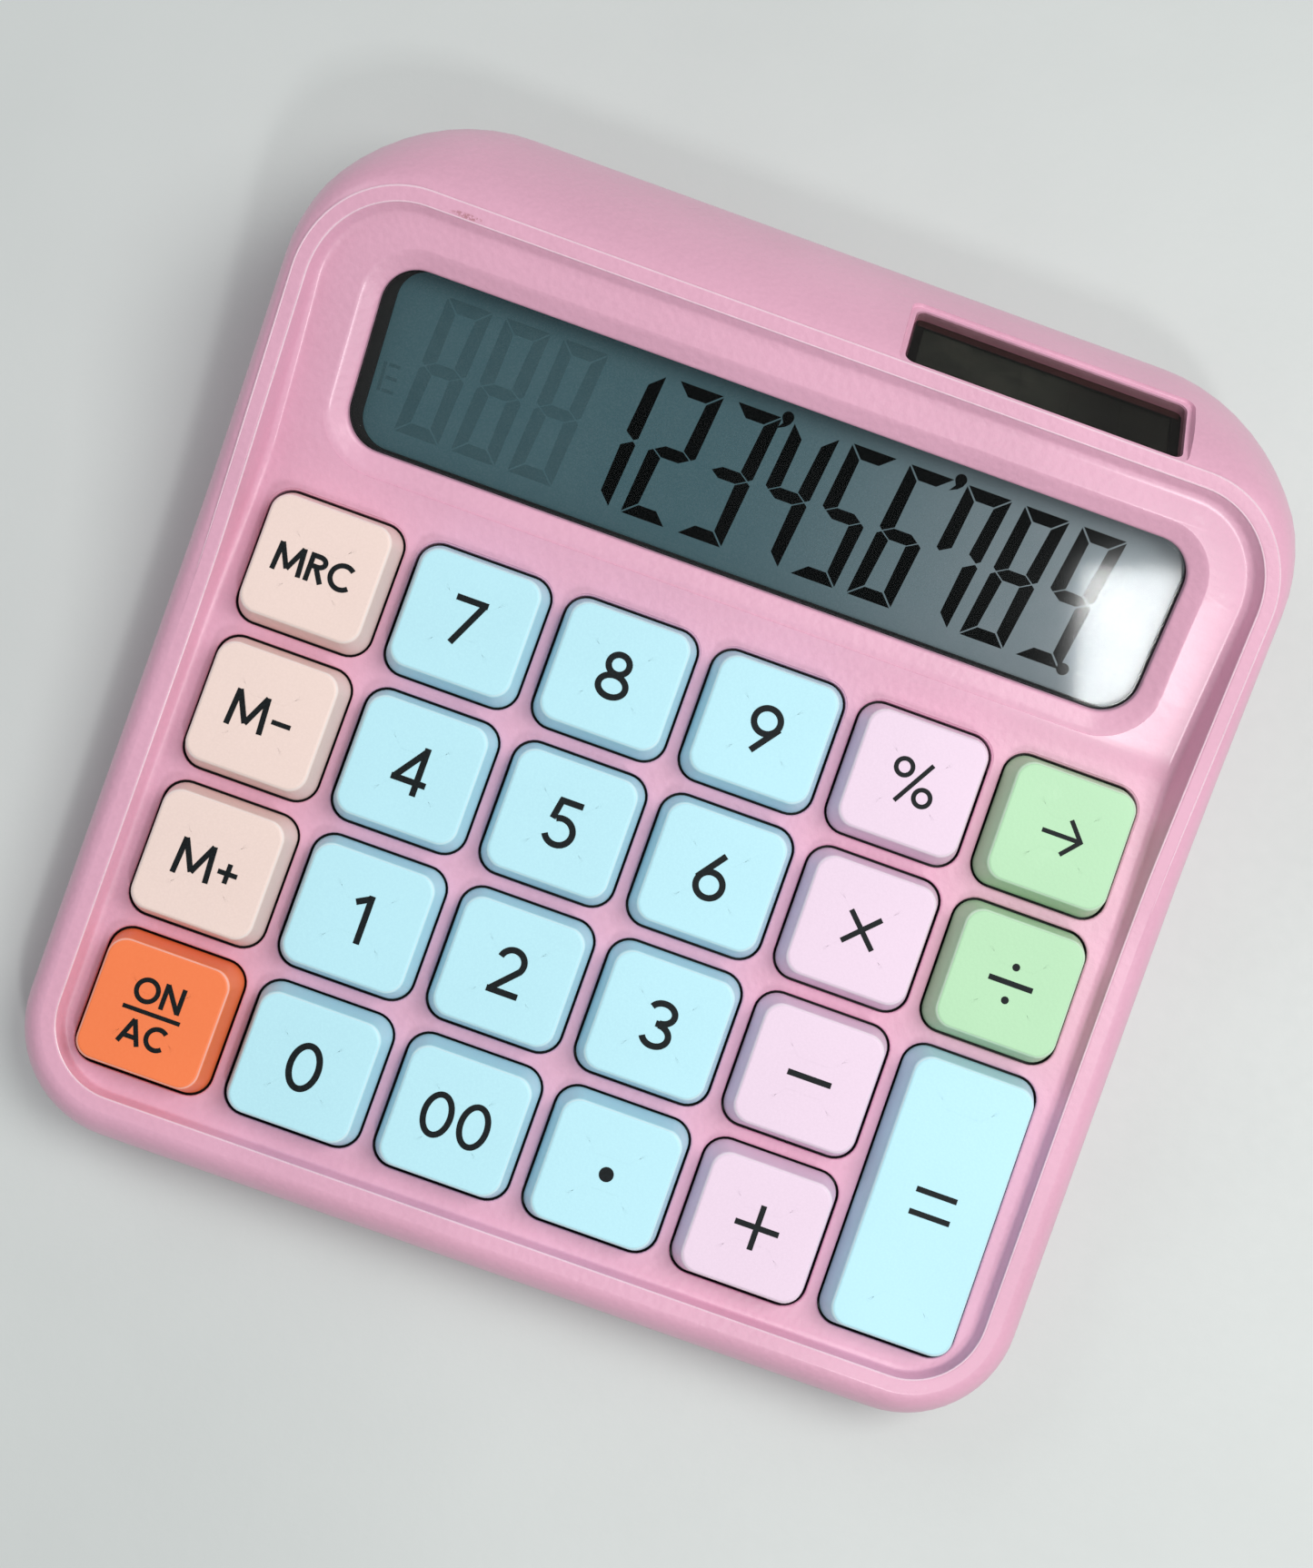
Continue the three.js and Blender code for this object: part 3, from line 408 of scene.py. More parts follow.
def piece(name, mesh, finish, body, replaces=(), sharp=32.0):
    """A finished piece that rides on a body."""
    thing = bpy.data.objects.new(name, mesh)
    bpy.context.scene.collection.objects.link(thing)
    mesh.materials.clear()
    mesh.materials.append(finish)
    mesh.polygons.foreach_set("use_smooth", [True] * len(mesh.polygons))
    mesh.set_sharp_from_angle(angle=sharp * DEG)
    even = thing.modifiers.new("even_shading", "WEIGHTED_NORMAL")
    even.keep_sharp = True
    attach(thing, body)
    if replaces:
        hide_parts(*replaces)
    return thing


def fitted(name, shape, place, colour, replaces=(), cuts=()):
    """A piece of the case that is drawn in a sloping frame, less some cuts."""
    whole = moved(shape, place)
    if cuts:
        mesh = carved(name, whole, [("DIFFERENCE", moved(cut, place)) for cut in cuts])
    else:
        mesh = as_mesh(name, whole)
    return piece(name, mesh, finish(colour), "case", replaces)


# ---------------------------------------------------------------- finishes

class Value:
    """A number that changes over a surface. Arithmetic on it adds Math nodes."""

    def __init__(self, finish, socket):
        self.finish, self.socket = finish, socket

    def _math(self, operation, a, b):
        return self.finish.node("ShaderNodeMath", {"operation": operation}, {0: a, 1: b}).out(0)

    def __add__(self, other):
        return self._math("ADD", self, other)

    __radd__ = __add__

    def __sub__(self, other):
        return self._math("SUBTRACT", self, other)

    def __rsub__(self, other):
        return self._math("SUBTRACT", other, self)

    def __mul__(self, other):
        return self._math("MULTIPLY", self, other)

    __rmul__ = __mul__

    def __truediv__(self, other):
        return self._math("DIVIDE", self, other)

    def __rtruediv__(self, other):
        return self._math("DIVIDE", other, self)

    def __pow__(self, other):
        return self._math("POWER", self, other)

    def ramp(self, low, high):
        """0 below low, 1 above high, smooth between."""
        return self.finish.node("ShaderNodeMapRange", {"interpolation_type": "SMOOTHSTEP"},
                                {"Value": self, "From Min": low, "From Max": high}).out("Result")


class Made:
    """A node that has been added to a finish."""

    def __init__(self, finish, node):
        self.finish, self.node = finish, node

    def out(self, key=0):
        return Value(self.finish, self.node.outputs[key])


class Finish:
    """A material and the one way that nodes are added to it."""

    def __init__(self, name):
        self.material = bpy.data.materials.new(name)
        self.material.use_nodes = True
        self.tree = self.material.node_tree
        self.tree.nodes.clear()
        self.place = self.node("ShaderNodeTexCoord").out("Object")

    def node(self, kind, settings=None, inputs=None):
        node = self.tree.nodes.new(kind)
        for key, value in (settings or {}).items():
            setattr(node, key, value)
        for key, value in (inputs or {}).items():
            if isinstance(value, Value):
                self.tree.links.new(value.socket, node.inputs[key])
            else:
                node.inputs[key].default_value = value
        return Made(self, node)

    def noise(self, scale, detail=2.0, roughness=0.5):
        """Noise with about scale waves in a metre."""
        return self.node("ShaderNodeTexNoise", {}, {
            "Vector": self.place, "Scale": scale, "Detail": detail, "Roughness": roughness}).out(0)

    def mix(self, share, a, b):
        """From a to b as share goes from 0 to 1."""
        return self.node("ShaderNodeMix", {"data_type": "RGBA"}, {0: share, 6: a, 7: b}).out(2)

    def bump(self, height, depth):
        """Relief of a depth in metres."""
        return self.node("ShaderNodeBump", {}, {"Height": height, "Distance": depth}).out("Normal")

    def axis(self, name):
        return self.node("ShaderNodeSeparateXYZ", {}, {0: self.place}).out(name)

    def surface(self, **inputs):
        """The main shader; names are given with underscores."""
        return self.node("ShaderNodeBsdfPrincipled", {},
                         {key.replace("_", " "): value for key, value in inputs.items()}).out(0)

    def done(self, shader):
        self.node("ShaderNodeOutputMaterial", {}, {"Surface": shader})
        return self.material


def linear(colour):
    """A linear colour with alpha from an on-screen one."""
    return tuple(c / 12.92 if c <= 0.04045 else ((c + 0.055) / 1.055) ** 2.4 for c in colour[:3]) + (1.0,)


def shade_of(colour, amount):
    return tuple(min(1.0, c * amount) for c in colour[:3]) + (1.0,)


def paler(colour, share):
    """A colour moved towards white."""
    return tuple(c + (1 - c) * share for c in colour[:3])


def above_plate(f):
    """Height over the face that the keys stand in, in metres."""
    return f.axis("Z") - f.axis("Y") * math.tan(PLATE_TILT) - plate_z(CASE_MIDDLE) * MM


def moulded(name, colour, roughness, grain, grain_scale, cloud, coat=0.0, marks=None):
    """Satin moulded plastic: a fine pebbled grain, faint clouds of colour and rubbed patches.

    grain is the depth of the pebbles in metres, grain_scale their number in a metre; marks, when given, adds
    painted shade, painted highlights and scuffs to the colour.
    """
    f = Finish(name)
    base = linear(colour)
    clouds = f.noise(45.0, 3.0).ramp(0.3, 0.7)
    fine = f.noise(grain_scale, 2.0, 0.6)
    pebbles = f.node("ShaderNodeTexVoronoi", {"feature": "SMOOTH_F1"}, {
        "Vector": f.place, "Scale": grain_scale * 0.55, "Smoothness": 0.6}).out("Distance")
    tint = f.mix(clouds, shade_of(base, 1 - cloud), shade_of(base, 1 + cloud))
    tint = f.mix(fine.ramp(0.35, 0.7) * 0.25, tint, shade_of(base, 1.12))
    if marks:
        tint = marks(f, tint, base)
    rubbed = f.noise(160.0, 4.0, 0.65).ramp(0.56, 0.74)
    rough = roughness + (fine - 0.5) * 0.22 - rubbed * 0.07
    height = pebbles * 0.6 + fine * 0.4
    return f.done(f.surface(Base_Color=tint, Roughness=rough, Normal=f.bump(height, grain),
                            Coat_Weight=coat, Coat_Roughness=0.16, IOR=1.49))


# Middle and half size of the scuff on the crest, in metres.
SCUFF, SCUFF_SIZE = (-0.0515, 0.0577), (0.0028, 0.00045)


def case_shade_and_scuff(f, tint, base):
    """Painted shade, near black, on the walls of the key openings below the face, and a small scuff on the
    crest.
    """
    across, along = f.axis("X"), f.axis("Y")
    grid = (1 - (across * across).ramp(0.0047, 0.0048)) * (1 - along.ramp(0.0128, 0.013))
    up = above_plate(f)
    # Painted shade: near black on the walls of the key openings, below the face round the keys.
    opening_shade = (1 - up.ramp(-0.0006, -0.0002)) * up.ramp(-0.0045, -0.004) * grid * along.ramp(-0.0712, -0.071)
    tint = f.mix(opening_shade * 0.97, tint, (0.004, 0.003, 0.0035, 1))
    dx, dy = (across - SCUFF[0]) / SCUFF_SIZE[0], (along - SCUFF[1]) / SCUFF_SIZE[1]
    spot = (1 - (dx * dx + dy * dy).ramp(0.2, 1.0)) * up.ramp(0.004, 0.006)
    share = spot * f.noise(1400.0, 3.0, 0.7).ramp(0.47, 0.56) * 0.6
    return f.mix(share, tint, linear((0.62, 0.36, 0.36)))


def key_shade_and_highlight(f, tint, base):
    """Painted shade below the face, and a painted highlight as a paler line round the edge of the top."""
    up = above_plate(f) * math.cos(PLATE_TILT)
    # Painted shade: near black below the face, on the flange in the gap round the key.
    tint = f.mix((1 - up.ramp(-0.0006, -0.0002)) * 0.97, tint, (0.003, 0.003, 0.0035, 1))
    # Painted highlight: a paler line round the edge of the top.
    edge = up.ramp(0.00462, 0.00474) * (1 - up.ramp(0.00487, 0.00495))
    share = edge * (0.35 + f.noise(300.0, 3.0) * 0.4)
    return f.mix(share, tint, paler(base, 0.55) + (1,))


def key_plastic(name, colour, roughness=0.46, cloud=0.015):
    return moulded(name, colour, roughness, 0.000016, 3200.0, cloud, 0.0, key_shade_and_highlight)


def ink(name):
    """Printed legend ink, nearly black, slightly uneven."""
    f = Finish(name)
    speck = f.noise(3500.0, 2.0)
    tint = f.mix(speck.ramp(0.35, 0.75), (0.0015, 0.0035, 0.0045, 1), (0.006, 0.012, 0.014, 1))
    return f.done(f.surface(Base_Color=tint, Roughness=0.45 + speck * 0.2, Specular_IOR_Level=0.2,
                            Normal=f.bump(speck, 0.000004)))


def clear_sheet(name, tint, roughness=0.03, gloss_level=0.5, dust=0.02):
    """Clear acrylic: it lets through all but its gloss, and holds a little dust."""
    f = Finish(name)
    specks = f.noise(900.0, 5.0, 0.7).ramp(0.72, 0.8)
    haze = f.noise(60.0, 3.0).ramp(0.4, 0.8)
    facing = f.node("ShaderNodeLayerWeight", {}, {"Blend": 0.5}).out("Facing")
    gloss = (facing ** 5 * 0.96 + 0.04) * gloss_level
    through = f.node("ShaderNodeBsdfTransparent", {}, {"Color": tint}).out(0)
    shine = f.node("ShaderNodeBsdfGlossy", {}, {"Roughness": roughness + haze * 0.02}).out(0)
    clean = f.node("ShaderNodeMixShader", {}, {0: gloss, 1: through, 2: shine}).out(0)
    settled = f.surface(Base_Color=(0.7, 0.72, 0.72, 1), Roughness=0.8)
    share = specks * dust + haze * 0.0015
    return f.done(f.node("ShaderNodeMixShader", {}, {0: share, 1: clean, 2: settled}).out(0))


def steel(name, colour=(0.62, 0.62, 0.6, 1)):
    f = Finish(name)
    scratches = f.noise(1800.0, 3.0, 0.7)
    stain = f.noise(220.0, 3.0).ramp(0.45, 0.75)
    tint = f.mix(stain * 0.4, colour, (0.42, 0.4, 0.37, 1))
    return f.done(f.surface(Base_Color=tint, Metallic=1.0, Roughness=0.25 + scratches * 0.25,
                            Normal=f.bump(scratches, 0.00001)))


def rubber(name, colour, roughness=0.75):
    f = Finish(name)
    grain = f.noise(1500.0, 3.0, 0.6)
    dust = f.noise(140.0, 4.0).ramp(0.5, 0.8)
    tint = f.mix(dust * 0.35, colour, shade_of(colour, 2.2))
    return f.done(f.surface(Base_Color=tint, Roughness=roughness + grain * 0.15,
                            Normal=f.bump(grain, 0.00004)))


def lcd_panel(name):
    """Grey liquid crystal panel with painted shading: cooler and darker towards the left and lighter towards
    the right, with a fine mottle.
    """
    f = Finish(name)
    # Painted shading: the panel's brightness, which changes with the angle of the light, drawn as a ramp
    # from left to right.
    across = f.axis("X").ramp(-0.012, 0.076)
    mottle = f.noise(240.0, 3.0).ramp(0.3, 0.7)
    fine = f.noise(4200.0, 2.0)
    tint = f.mix(across, linear((0.25, 0.365, 0.395)), linear((0.56, 0.58, 0.6)))
    tint = f.mix(mottle * 0.12, tint, linear((0.33, 0.42, 0.44)))
    tint = f.mix(fine.ramp(0.4, 0.7) * 0.06, tint, linear((0.62, 0.68, 0.7)))
    return f.done(f.surface(Base_Color=tint, Roughness=0.5 + fine * 0.15, Specular_IOR_Level=0.2))


def lcd_ink(name, strength):
    """Darkened liquid crystal, see-through where a segment is only a ghost."""
    f = Finish(name)
    fine = f.noise(2600.0, 2.0)
    dark = f.surface(Base_Color=f.mix(fine, (0.0004, 0.0006, 0.0006, 1), (0.001, 0.002, 0.0022, 1)),
                     Roughness=0.42, Specular_IOR_Level=0.02)
    if strength >= 1:
        return f.done(dark)
    clear = f.node("ShaderNodeBsdfTransparent").out(0)
    share = strength * (0.75 + f.noise(500.0, 2.0) * 0.5)
    return f.done(f.node("ShaderNodeMixShader", {}, {0: share, 1: clear, 2: dark}).out(0))


def cell_finish(name):
    """Amorphous solar cell: dark green-brown with faint deposits."""
    f = Finish(name)
    cloud = f.noise(180.0, 3.0).ramp(0.35, 0.7)
    fine = f.noise(2400.0, 3.0, 0.7)
    tint = f.mix(cloud, linear((0.25, 0.285, 0.265)), linear((0.34, 0.37, 0.345)))
    tint = f.mix(fine.ramp(0.68, 0.78) * 0.3, tint, linear((0.4, 0.4, 0.38)))
    # Darker over the right part of the cell, set by position.
    dim = (f.axis("X") + (cloud - 0.5) * 0.004).ramp(0.031, 0.041)
    tint = f.mix(dim * 0.75, tint, (0.004, 0.005, 0.004, 1))
    return f.done(f.surface(Base_Color=tint, Roughness=0.3 + cloud * 0.1, Normal=f.bump(fine, 0.000004)))


def board_finish(name):
    """Green solder mask over copper tracks."""
    f = Finish(name)
    tracks = f.node("ShaderNodeTexBrick", {"offset": 0.37, "squash": 1.4}, {
        "Vector": f.place, "Scale": 260.0, "Mortar Size": 0.14, "Mortar Smooth": 0.1}).out("Fac")
    cloud = f.noise(90.0, 3.0)
    tint = f.mix(tracks, linear((0.09, 0.36, 0.2)), linear((0.16, 0.5, 0.27)))
    tint = f.mix(cloud * 0.3, tint, linear((0.07, 0.28, 0.17)))
    return f.done(f.surface(Base_Color=tint, Roughness=0.3 + cloud * 0.2, Normal=f.bump(tracks, 0.00004)))


def sleeve(name):
    """Battery sleeve: dark film with a copper-coloured band at its button end."""
    f = Finish(name)
    band = f.axis("X").ramp(0.0135, 0.0137)
    scuffs = f.noise(500.0, 4.0, 0.7).ramp(0.55, 0.75)
    tint = f.mix(band, linear((0.12, 0.14, 0.17)), linear((0.72, 0.45, 0.25)))
    tint = f.mix(scuffs * 0.2, tint, linear((0.55, 0.55, 0.55)))
    return f.done(f.surface(Base_Color=tint, Roughness=0.28 + scuffs * 0.2,
                            Normal=f.bump(scuffs, 0.00001)))


def tabletop(name, colour):
    f = Finish(name)
    cloud = f.noise(9.0, 4.0, 0.6)
    fine = f.noise(420.0, 3.0)
    tint = f.mix(cloud.ramp(0.3, 0.7), shade_of(colour, 0.97), shade_of(colour, 1.02))
    return f.done(f.surface(Base_Color=tint, Roughness=0.45 + fine * 0.15, Normal=f.bump(fine, 0.00004)))


FINISHES = {}


def finish(name):
    """Each finish is made once, from the colours in the sidebar."""
    if name in FINISHES:
        return FINISHES[name]
    c = bpy.context.scene.calculator_colours
    makers = {
        "case": lambda n: moulded(n, c.case, 0.42, 0.00009, 1500.0, 0.035, 0.22, case_shade_and_scuff),
        # Paler case colour for the fine beads on the crest: a painted highlight.
        "rim_line": lambda n: moulded(n, paler(c.case, 0.4), 0.3, 0.00002, 1500.0, 0.05, 0.3),
        "cream": lambda n: key_plastic(n, c.cream),
        "blue": lambda n: key_plastic(n, c.blue),
        "lilac": lambda n: key_plastic(n, c.lilac),
        "green": lambda n: key_plastic(n, c.green, 0.46, 0.02),
        "orange": lambda n: key_plastic(n, c.orange, 0.42, 0.02),
        "ink": ink,
        "lens": lambda n: clear_sheet(n, (0.97, 0.985, 0.985, 1), 0.06, 0.18, 0.014),
        "smoked": lambda n: clear_sheet(n, (0.7, 0.68, 0.66, 1), 0.05, 0.5, 0.1),
        "gasket": lambda n: rubber(n, (0.002, 0.0025, 0.0025, 1), 0.7),
        "foot": lambda n: rubber(n, (0.018, 0.018, 0.019, 1)),
        "silicone": lambda n: rubber(n, (0.6, 0.6, 0.56, 1), 0.5),
        "resin": lambda n: rubber(n, (0.006, 0.006, 0.007, 1), 0.2),
        "steel": steel,
        "ribbon": lambda n: moulded(n, (0.8, 0.52, 0.16), 0.3, 0.00001, 900.0, 0.2),
        "lcd": lcd_panel,
        "lcd_ink": lambda n: lcd_ink(n, 1.0),
        "lcd_ghost": lambda n: lcd_ink(n, 0.052),
        "cell": cell_finish,
        "busbar": lambda n: moulded(n, (0.34, 0.2, 0.2), 0.35, 0.00001, 900.0, 0.15),
        "board": board_finish,
        "sleeve": sleeve,
    }
    FINISHES[name] = makers[name]("finish_" + name)
    return FINISHES[name]


# ---------------------------------------------------------------- case

# Places along the straight sides where an outline has a point: closer round the bend of the face.
SIDE_LEVELS = sorted(
    [-32 + 4 * i for i in range(14)] + [22 + 2.5 * i for i in range(8)]
    + [43 + 0.75 * i for i in range(11)] + [53, 56, 60, 64, 68])


def rim_ring(run, z):
    return ring(FACE_HALF + run, FACE_LOW - run, FACE_HIGH + run,
                FRONT_CORNER + run, BACK_CORNER + run, z, True)


def flank_ring(share, inset=0.0, z=None):
    side = math.sqrt(1 - share ** 2)
    back = (1 - share ** 1.4) ** (1 / 1.4)
    height = z or (lambda y: parting_z(y) + share * (rim_z(y) - parting_z(y)))
    return ring(FACE_HALF + RIM_RUN + side * FLANK - inset, FACE_LOW - RIM_RUN - side * FLANK + inset,
                RIDGE + back * BACK_FLANK - inset, FRONT_CORNER + RIM_RUN + side * FLANK - inset,
                BACK_CORNER + RIM_RUN + back * CORNER_GROWTH + side * FLANK - inset, height, True)


def base_ring(side, back, z):
    r = flank_ring(0.0, 0.0, z)
    return ring(r["half"] - side, r["front"] + side, r["back"] - back,
                r["front_corner"] - side, r["back_corner"] - side, z, True)


def window_ring(grow, z):
    """Outline of the display window, grown by a margin."""
    return centred(WINDOW_X + grow, WINDOW_Y + grow, WINDOW_CORNER + grow, z)


def back_fade(y):
    """0 along the front of the case, 1 along its back part."""
    share = min(1.0, max(0.0, (y - 5) / 45))
    return share * share * (3 - 2 * share)


def bead_mesh(run, radius, fade):
    """A fine rounded line along the crest, sunk until it is level with it, that carries a painted highlight.
    """
    right = half_outline(rim_ring(run, 0), 20, SIDE_LEVELS)
    line = [Vector(p) for p in right + [(-x, y) for x, y in reversed(right)]]
    line = [p for i, p in enumerate(line) if (p - line[i - 1]).length > 1e-3]
    count, sides = len(line), 8
    points = []
    for i, p in enumerate(line):
        along = (line[(i + 1) % count] - line[i - 1]).normalized()
        out = Vector((along.y, -along.x))
        r = radius * max(0.1, fade(p.y))
        for k in range(sides):
            a = 2 * math.pi * k / sides
            q = p + out * r * math.cos(a)
            points.append((q.x, q.y, rim_z(p.y) - radius + r * math.sin(a)))
    faces = [(i * sides + k, (i + 1) % count * sides + k, (i + 1) % count * sides + (k + 1) % sides,
              i * sides + (k + 1) % sides) for i in range(count) for k in range(sides)]
    return as_mesh("rim_line", (points, faces))


def case_top_outside(crease):
    """Flanks, a flat crest with two fine edges, and the wall down to the sunk face."""
    def between(share):
        return lambda y: parting_z(y) + share * (rim_z(y) - crease * back_fade(y) - parting_z(y))

    flank = [flank_ring(0.0, 0.18), flank_ring(0.0, 0.04, lambda y: parting_z(y) + 0.08),
             flank_ring(0.0, 0.0, lambda y: parting_z(y) + 0.22)]
    for share in (0.06, 0.12, 0.2, 0.3, 0.4, 0.5, 0.6, 0.7, 0.78, 0.85, 0.91, 0.955, 0.985):
        flank.append(flank_ring(share, 0.0, between(share)))
    crest = eased([(RIM_RUN + 0.22, -crease), (RIM_RUN, 0.0), (WALL_RUN + 0.3, 0.0)], 0.12, 3)
    rim = [rim_ring(run, lambda y, drop=drop: rim_z(y) + drop * back_fade(y)) for run, drop in crest]
    corners = [(WALL_RUN + 0.3, 1.0), (WALL_RUN - 0.02, 1.0), (WALL_RUN - 0.4, 0.68), (0.42, 0.1),
               (-0.35, 0.0), (-0.9, 0.0)]
    fall = eased(corners, [0.3, 0.15, 0.25, 0.3], 3)
    wall = [rim_ring(run, lambda y, share=share: face_z(y) + share * (rim_z(y) - face_z(y)))
            for run, share in fall[1:]]
    return loft(flank + rim + wall, 14, SIDE_LEVELS)


def case_top_inside():
    return loft([
        flank_ring(0, CASE_WALL, lambda y: parting_z(y) - 1),
        flank_ring(0, CASE_WALL, lambda y: parting_z(y) + TONGUE_HEIGHT + FIT),
        flank_ring(0.3, CASE_WALL),
        flank_ring(0.62, 1.4 * CASE_WALL,
                   lambda y: parting_z(y) + 0.55 * (rim_z(y) - parting_z(y)) - 0.6),
        rim_ring(-0.4, lambda y: face_z(y) - PLATE_THICKNESS),
    ], 6, SIDE_LEVELS)


def key_openings(edge):
    """Holes for the keys, each with a rounded upper edge."""
    openings = []
    for _, column, row, _, _, rows in KEYS:
        x, y, half_x, half_y = key_place(column, row, rows)
        lip = eased([(0, -edge * 2), (0, 0), (edge * 2.4, 0.006)], edge, 4)
        profile = [(0, FLANGE_LOW)] + [tuple(p) for p in lip[:-1]] + [(edge + 0.02, 0.6), (edge + 0.02, 4)]
        cut = loft([centred(half_x + grow, half_y + grow, OPENING_CORNER + grow, z)
                    for grow, z in profile], 8)
        openings.append(moved(shifted(cut, x, y), PLATE))
    return gathered(openings)


def window_cuts():
    """Sunk border, opening and lens seat of the display."""
    profile = [
        (0, -BORDER_DEPTH - 1.6), (0, -BORDER_DEPTH - 0.35), (0.06, -BORDER_DEPTH - 0.12),
        (0.22, -BORDER_DEPTH + 0.03), (0.5, -BORDER_DEPTH + 0.17), (BORDER - 0.55, -0.25),
        (BORDER - 0.2, -0.1), (BORDER + 0.2, 0.0), (BORDER + 0.75, 0.06), (BORDER + 0.8, 0.6),
        (BORDER + 0.8, 2)]
    border = loft([window_ring(grow, z) for grow, z in profile], 12)
    opening = loft([window_ring(0, z) for z in (-FRAME_BORDER, -BORDER_DEPTH - 0.4)], 12)
    seat = loft([window_ring(LENS_FLANGE + FIT, z)
                 for z in (-FRAME_BORDER - 1, -BORDER_DEPTH - WINDOW_LIP)], 12)
    return [("DIFFERENCE", moved(shape, DISPLAY)) for shape in (border, opening, seat)]


def solar_cuts():
    """Pocket, sill for the glass and opening under it, on the back slope."""
    half_x, half_y = SOLAR_LENGTH / 2, SOLAR_WIDTH / 2
    pocket = loft([centred(half_x + SOLAR_BORDER + grow, half_y + SOLAR_BORDER + grow,
                           SOLAR_CORNER + 0.4 + grow, z)
                   for grow, z in ((-0.1, 0), (0, 0.12), (0.5, 3.0), (1.6, 9))], 6)
    sill = loft([centred(half_x + FIT, half_y + FIT, SOLAR_CORNER + FIT, z)
                 for z in (-SOLAR_GLASS - FIT, 0.5)], 6)
    light_well = loft([centred(half_x - SOLAR_LEDGE, half_y - SOLAR_LEDGE, 0.6, z) for z in (-8, 0)], 4)
    return [("DIFFERENCE", moved(shape, SOLAR)) for shape in (pocket, sill, light_well)]


def case_top_mesh(edge, crease):
    """Upper shell: the outside less the inside, with bosses, frame blocks and all its openings."""
    outside = case_top_outside(crease)
    bosses = []
    for x, y, _ in SCREWS:
        top = min(face_z(y), rim_z(RIDGE) - 5) - FIT
        bosses.append(post(x, y, parting_z(y) + TONGUE_HEIGHT + 2 * FIT, top, BOSS_RADIUS))
    frame_block = loft([centred(WINDOW_X + FRAME_BORDER, WINDOW_Y + FRAME_BORDER, WINDOW_CORNER, z)
                        for z in (-FRAME_BORDER, -1.2)], 6)
    housing = loft([centred(SOLAR_LENGTH / 2 + 3, SOLAR_WIDTH / 2 + 3, 2, z) for z in (-4, 1)], 4)
    pilots = gathered([post(x, y, parting_z(y) + TONGUE_HEIGHT, parting_z(y) + TONGUE_HEIGHT + 3.8,
                            SHANK + FIT, 12) for x, y, _ in SCREWS])
    return carved("case_top", outside, [
        ("DIFFERENCE", case_top_inside()), ("UNION", gathered(bosses)),
        ("UNION", moved(frame_block, DISPLAY)), ("UNION", moved(housing, SOLAR)), ("INTERSECT", outside),
        ("DIFFERENCE", key_openings(edge)), *window_cuts(), *solar_cuts(), ("DIFFERENCE", pilots)])


def case_bottom_mesh():
    """Lower shell: drawn in towards the floor, with screw wells, foot pockets and the battery bay."""
    def height(share):
        return lambda y: FLOOR_LOW + share * (parting_z(y) - SEAM - FLOOR_LOW)

    corners = [
        (UNDERCUT_SIDE, UNDERCUT_BACK, 0.0),
        (UNDERCUT_SIDE - 0.75 * LOWER_EDGE, UNDERCUT_BACK - 1.6 * LOWER_EDGE, 0.076),
        (0.3 * UNDERCUT_SIDE, 0.32 * UNDERCUT_BACK, 0.5),
        (0.0, 0.0, 0.97), (0.0, 0.0, 0.985), (0.12, 0.12, 1.0),
    ]
    flare = eased(corners, [1.0, 4.0, 0.5, 0.1], 4)
    outer = [base_ring(side, back, height(share)) for side, back, share in flare]
    inset = CASE_WALL + FIT
    outer += [base_ring(inset, inset, lambda y: parting_z(y) - SEAM),
              base_ring(inset, inset, lambda y: parting_z(y) + TONGUE_HEIGHT)]
    wall = inset + TONGUE_WIDTH
    floor_top = FLOOR_LOW + FLOOR_THICKNESS
    inside = loft([
        base_ring(UNDERCUT_SIDE + CASE_WALL, UNDERCUT_BACK + CASE_WALL, lambda y: floor_top),
        base_ring(wall + 0.6, 0.32 * UNDERCUT_BACK + wall,
                  lambda y: (FLOOR_LOW + parting_z(y)) / 2 + floor_top / 3),
        base_ring(wall, wall, lambda y: parting_z(y) + TONGUE_HEIGHT + 1),
    ], 10, SIDE_LEVELS)

    def at_screws(low, above_tongue, radius, sides=24):
        return gathered([post(x, y, low, parting_z(y) + TONGUE_HEIGHT + above_tongue, radius, sides)
                         for x, y, _ in SCREWS])

    well = block(-WELL_X - WELL_WALL, WELL_X + WELL_WALL, WELL_MIDDLE - WELL_Y - WELL_WALL,
                 WELL_MIDDLE + WELL_Y + WELL_WALL, FLOOR_LOW + 0.5, WELL_TOP + WELL_WALL)
    cavity = block(-WELL_X, WELL_X, WELL_MIDDLE - WELL_Y, WELL_MIDDLE + WELL_Y, -1, WELL_TOP)
    doorway = block(-DOOR_X - FIT, DOOR_X + FIT, DOOR_FRONT - FIT, CASE_BACK, -1,
                    FLOOR_LOW + DOOR_THICKNESS + FIT)
    pockets = [post(x, y, -1, FOOT_HEIGHT + FIT, FOOT_RADIUS + 1.5 * FIT, 40) for x, y, _ in FEET]
    label = loft([centred(24, 9, 1.6, z) for z in (-1, FLOOR_LOW + 0.25)], 6)
    return carved("case_bottom", loft(outer, 14, SIDE_LEVELS), [
        ("DIFFERENCE", inside), ("UNION", at_screws(FLOOR_LOW + 0.5, -FIT, POST_RADIUS)), ("UNION", well),
        ("DIFFERENCE", at_screws(-1, -POST_LAND, HEAD + FIT, 32)),
        ("DIFFERENCE", at_screws(0, 1, SHANK + FIT, 16)), ("DIFFERENCE", cavity), ("DIFFERENCE", doorway),
        ("DIFFERENCE", gathered(pockets)), ("DIFFERENCE", shifted(label, 0, -8))])


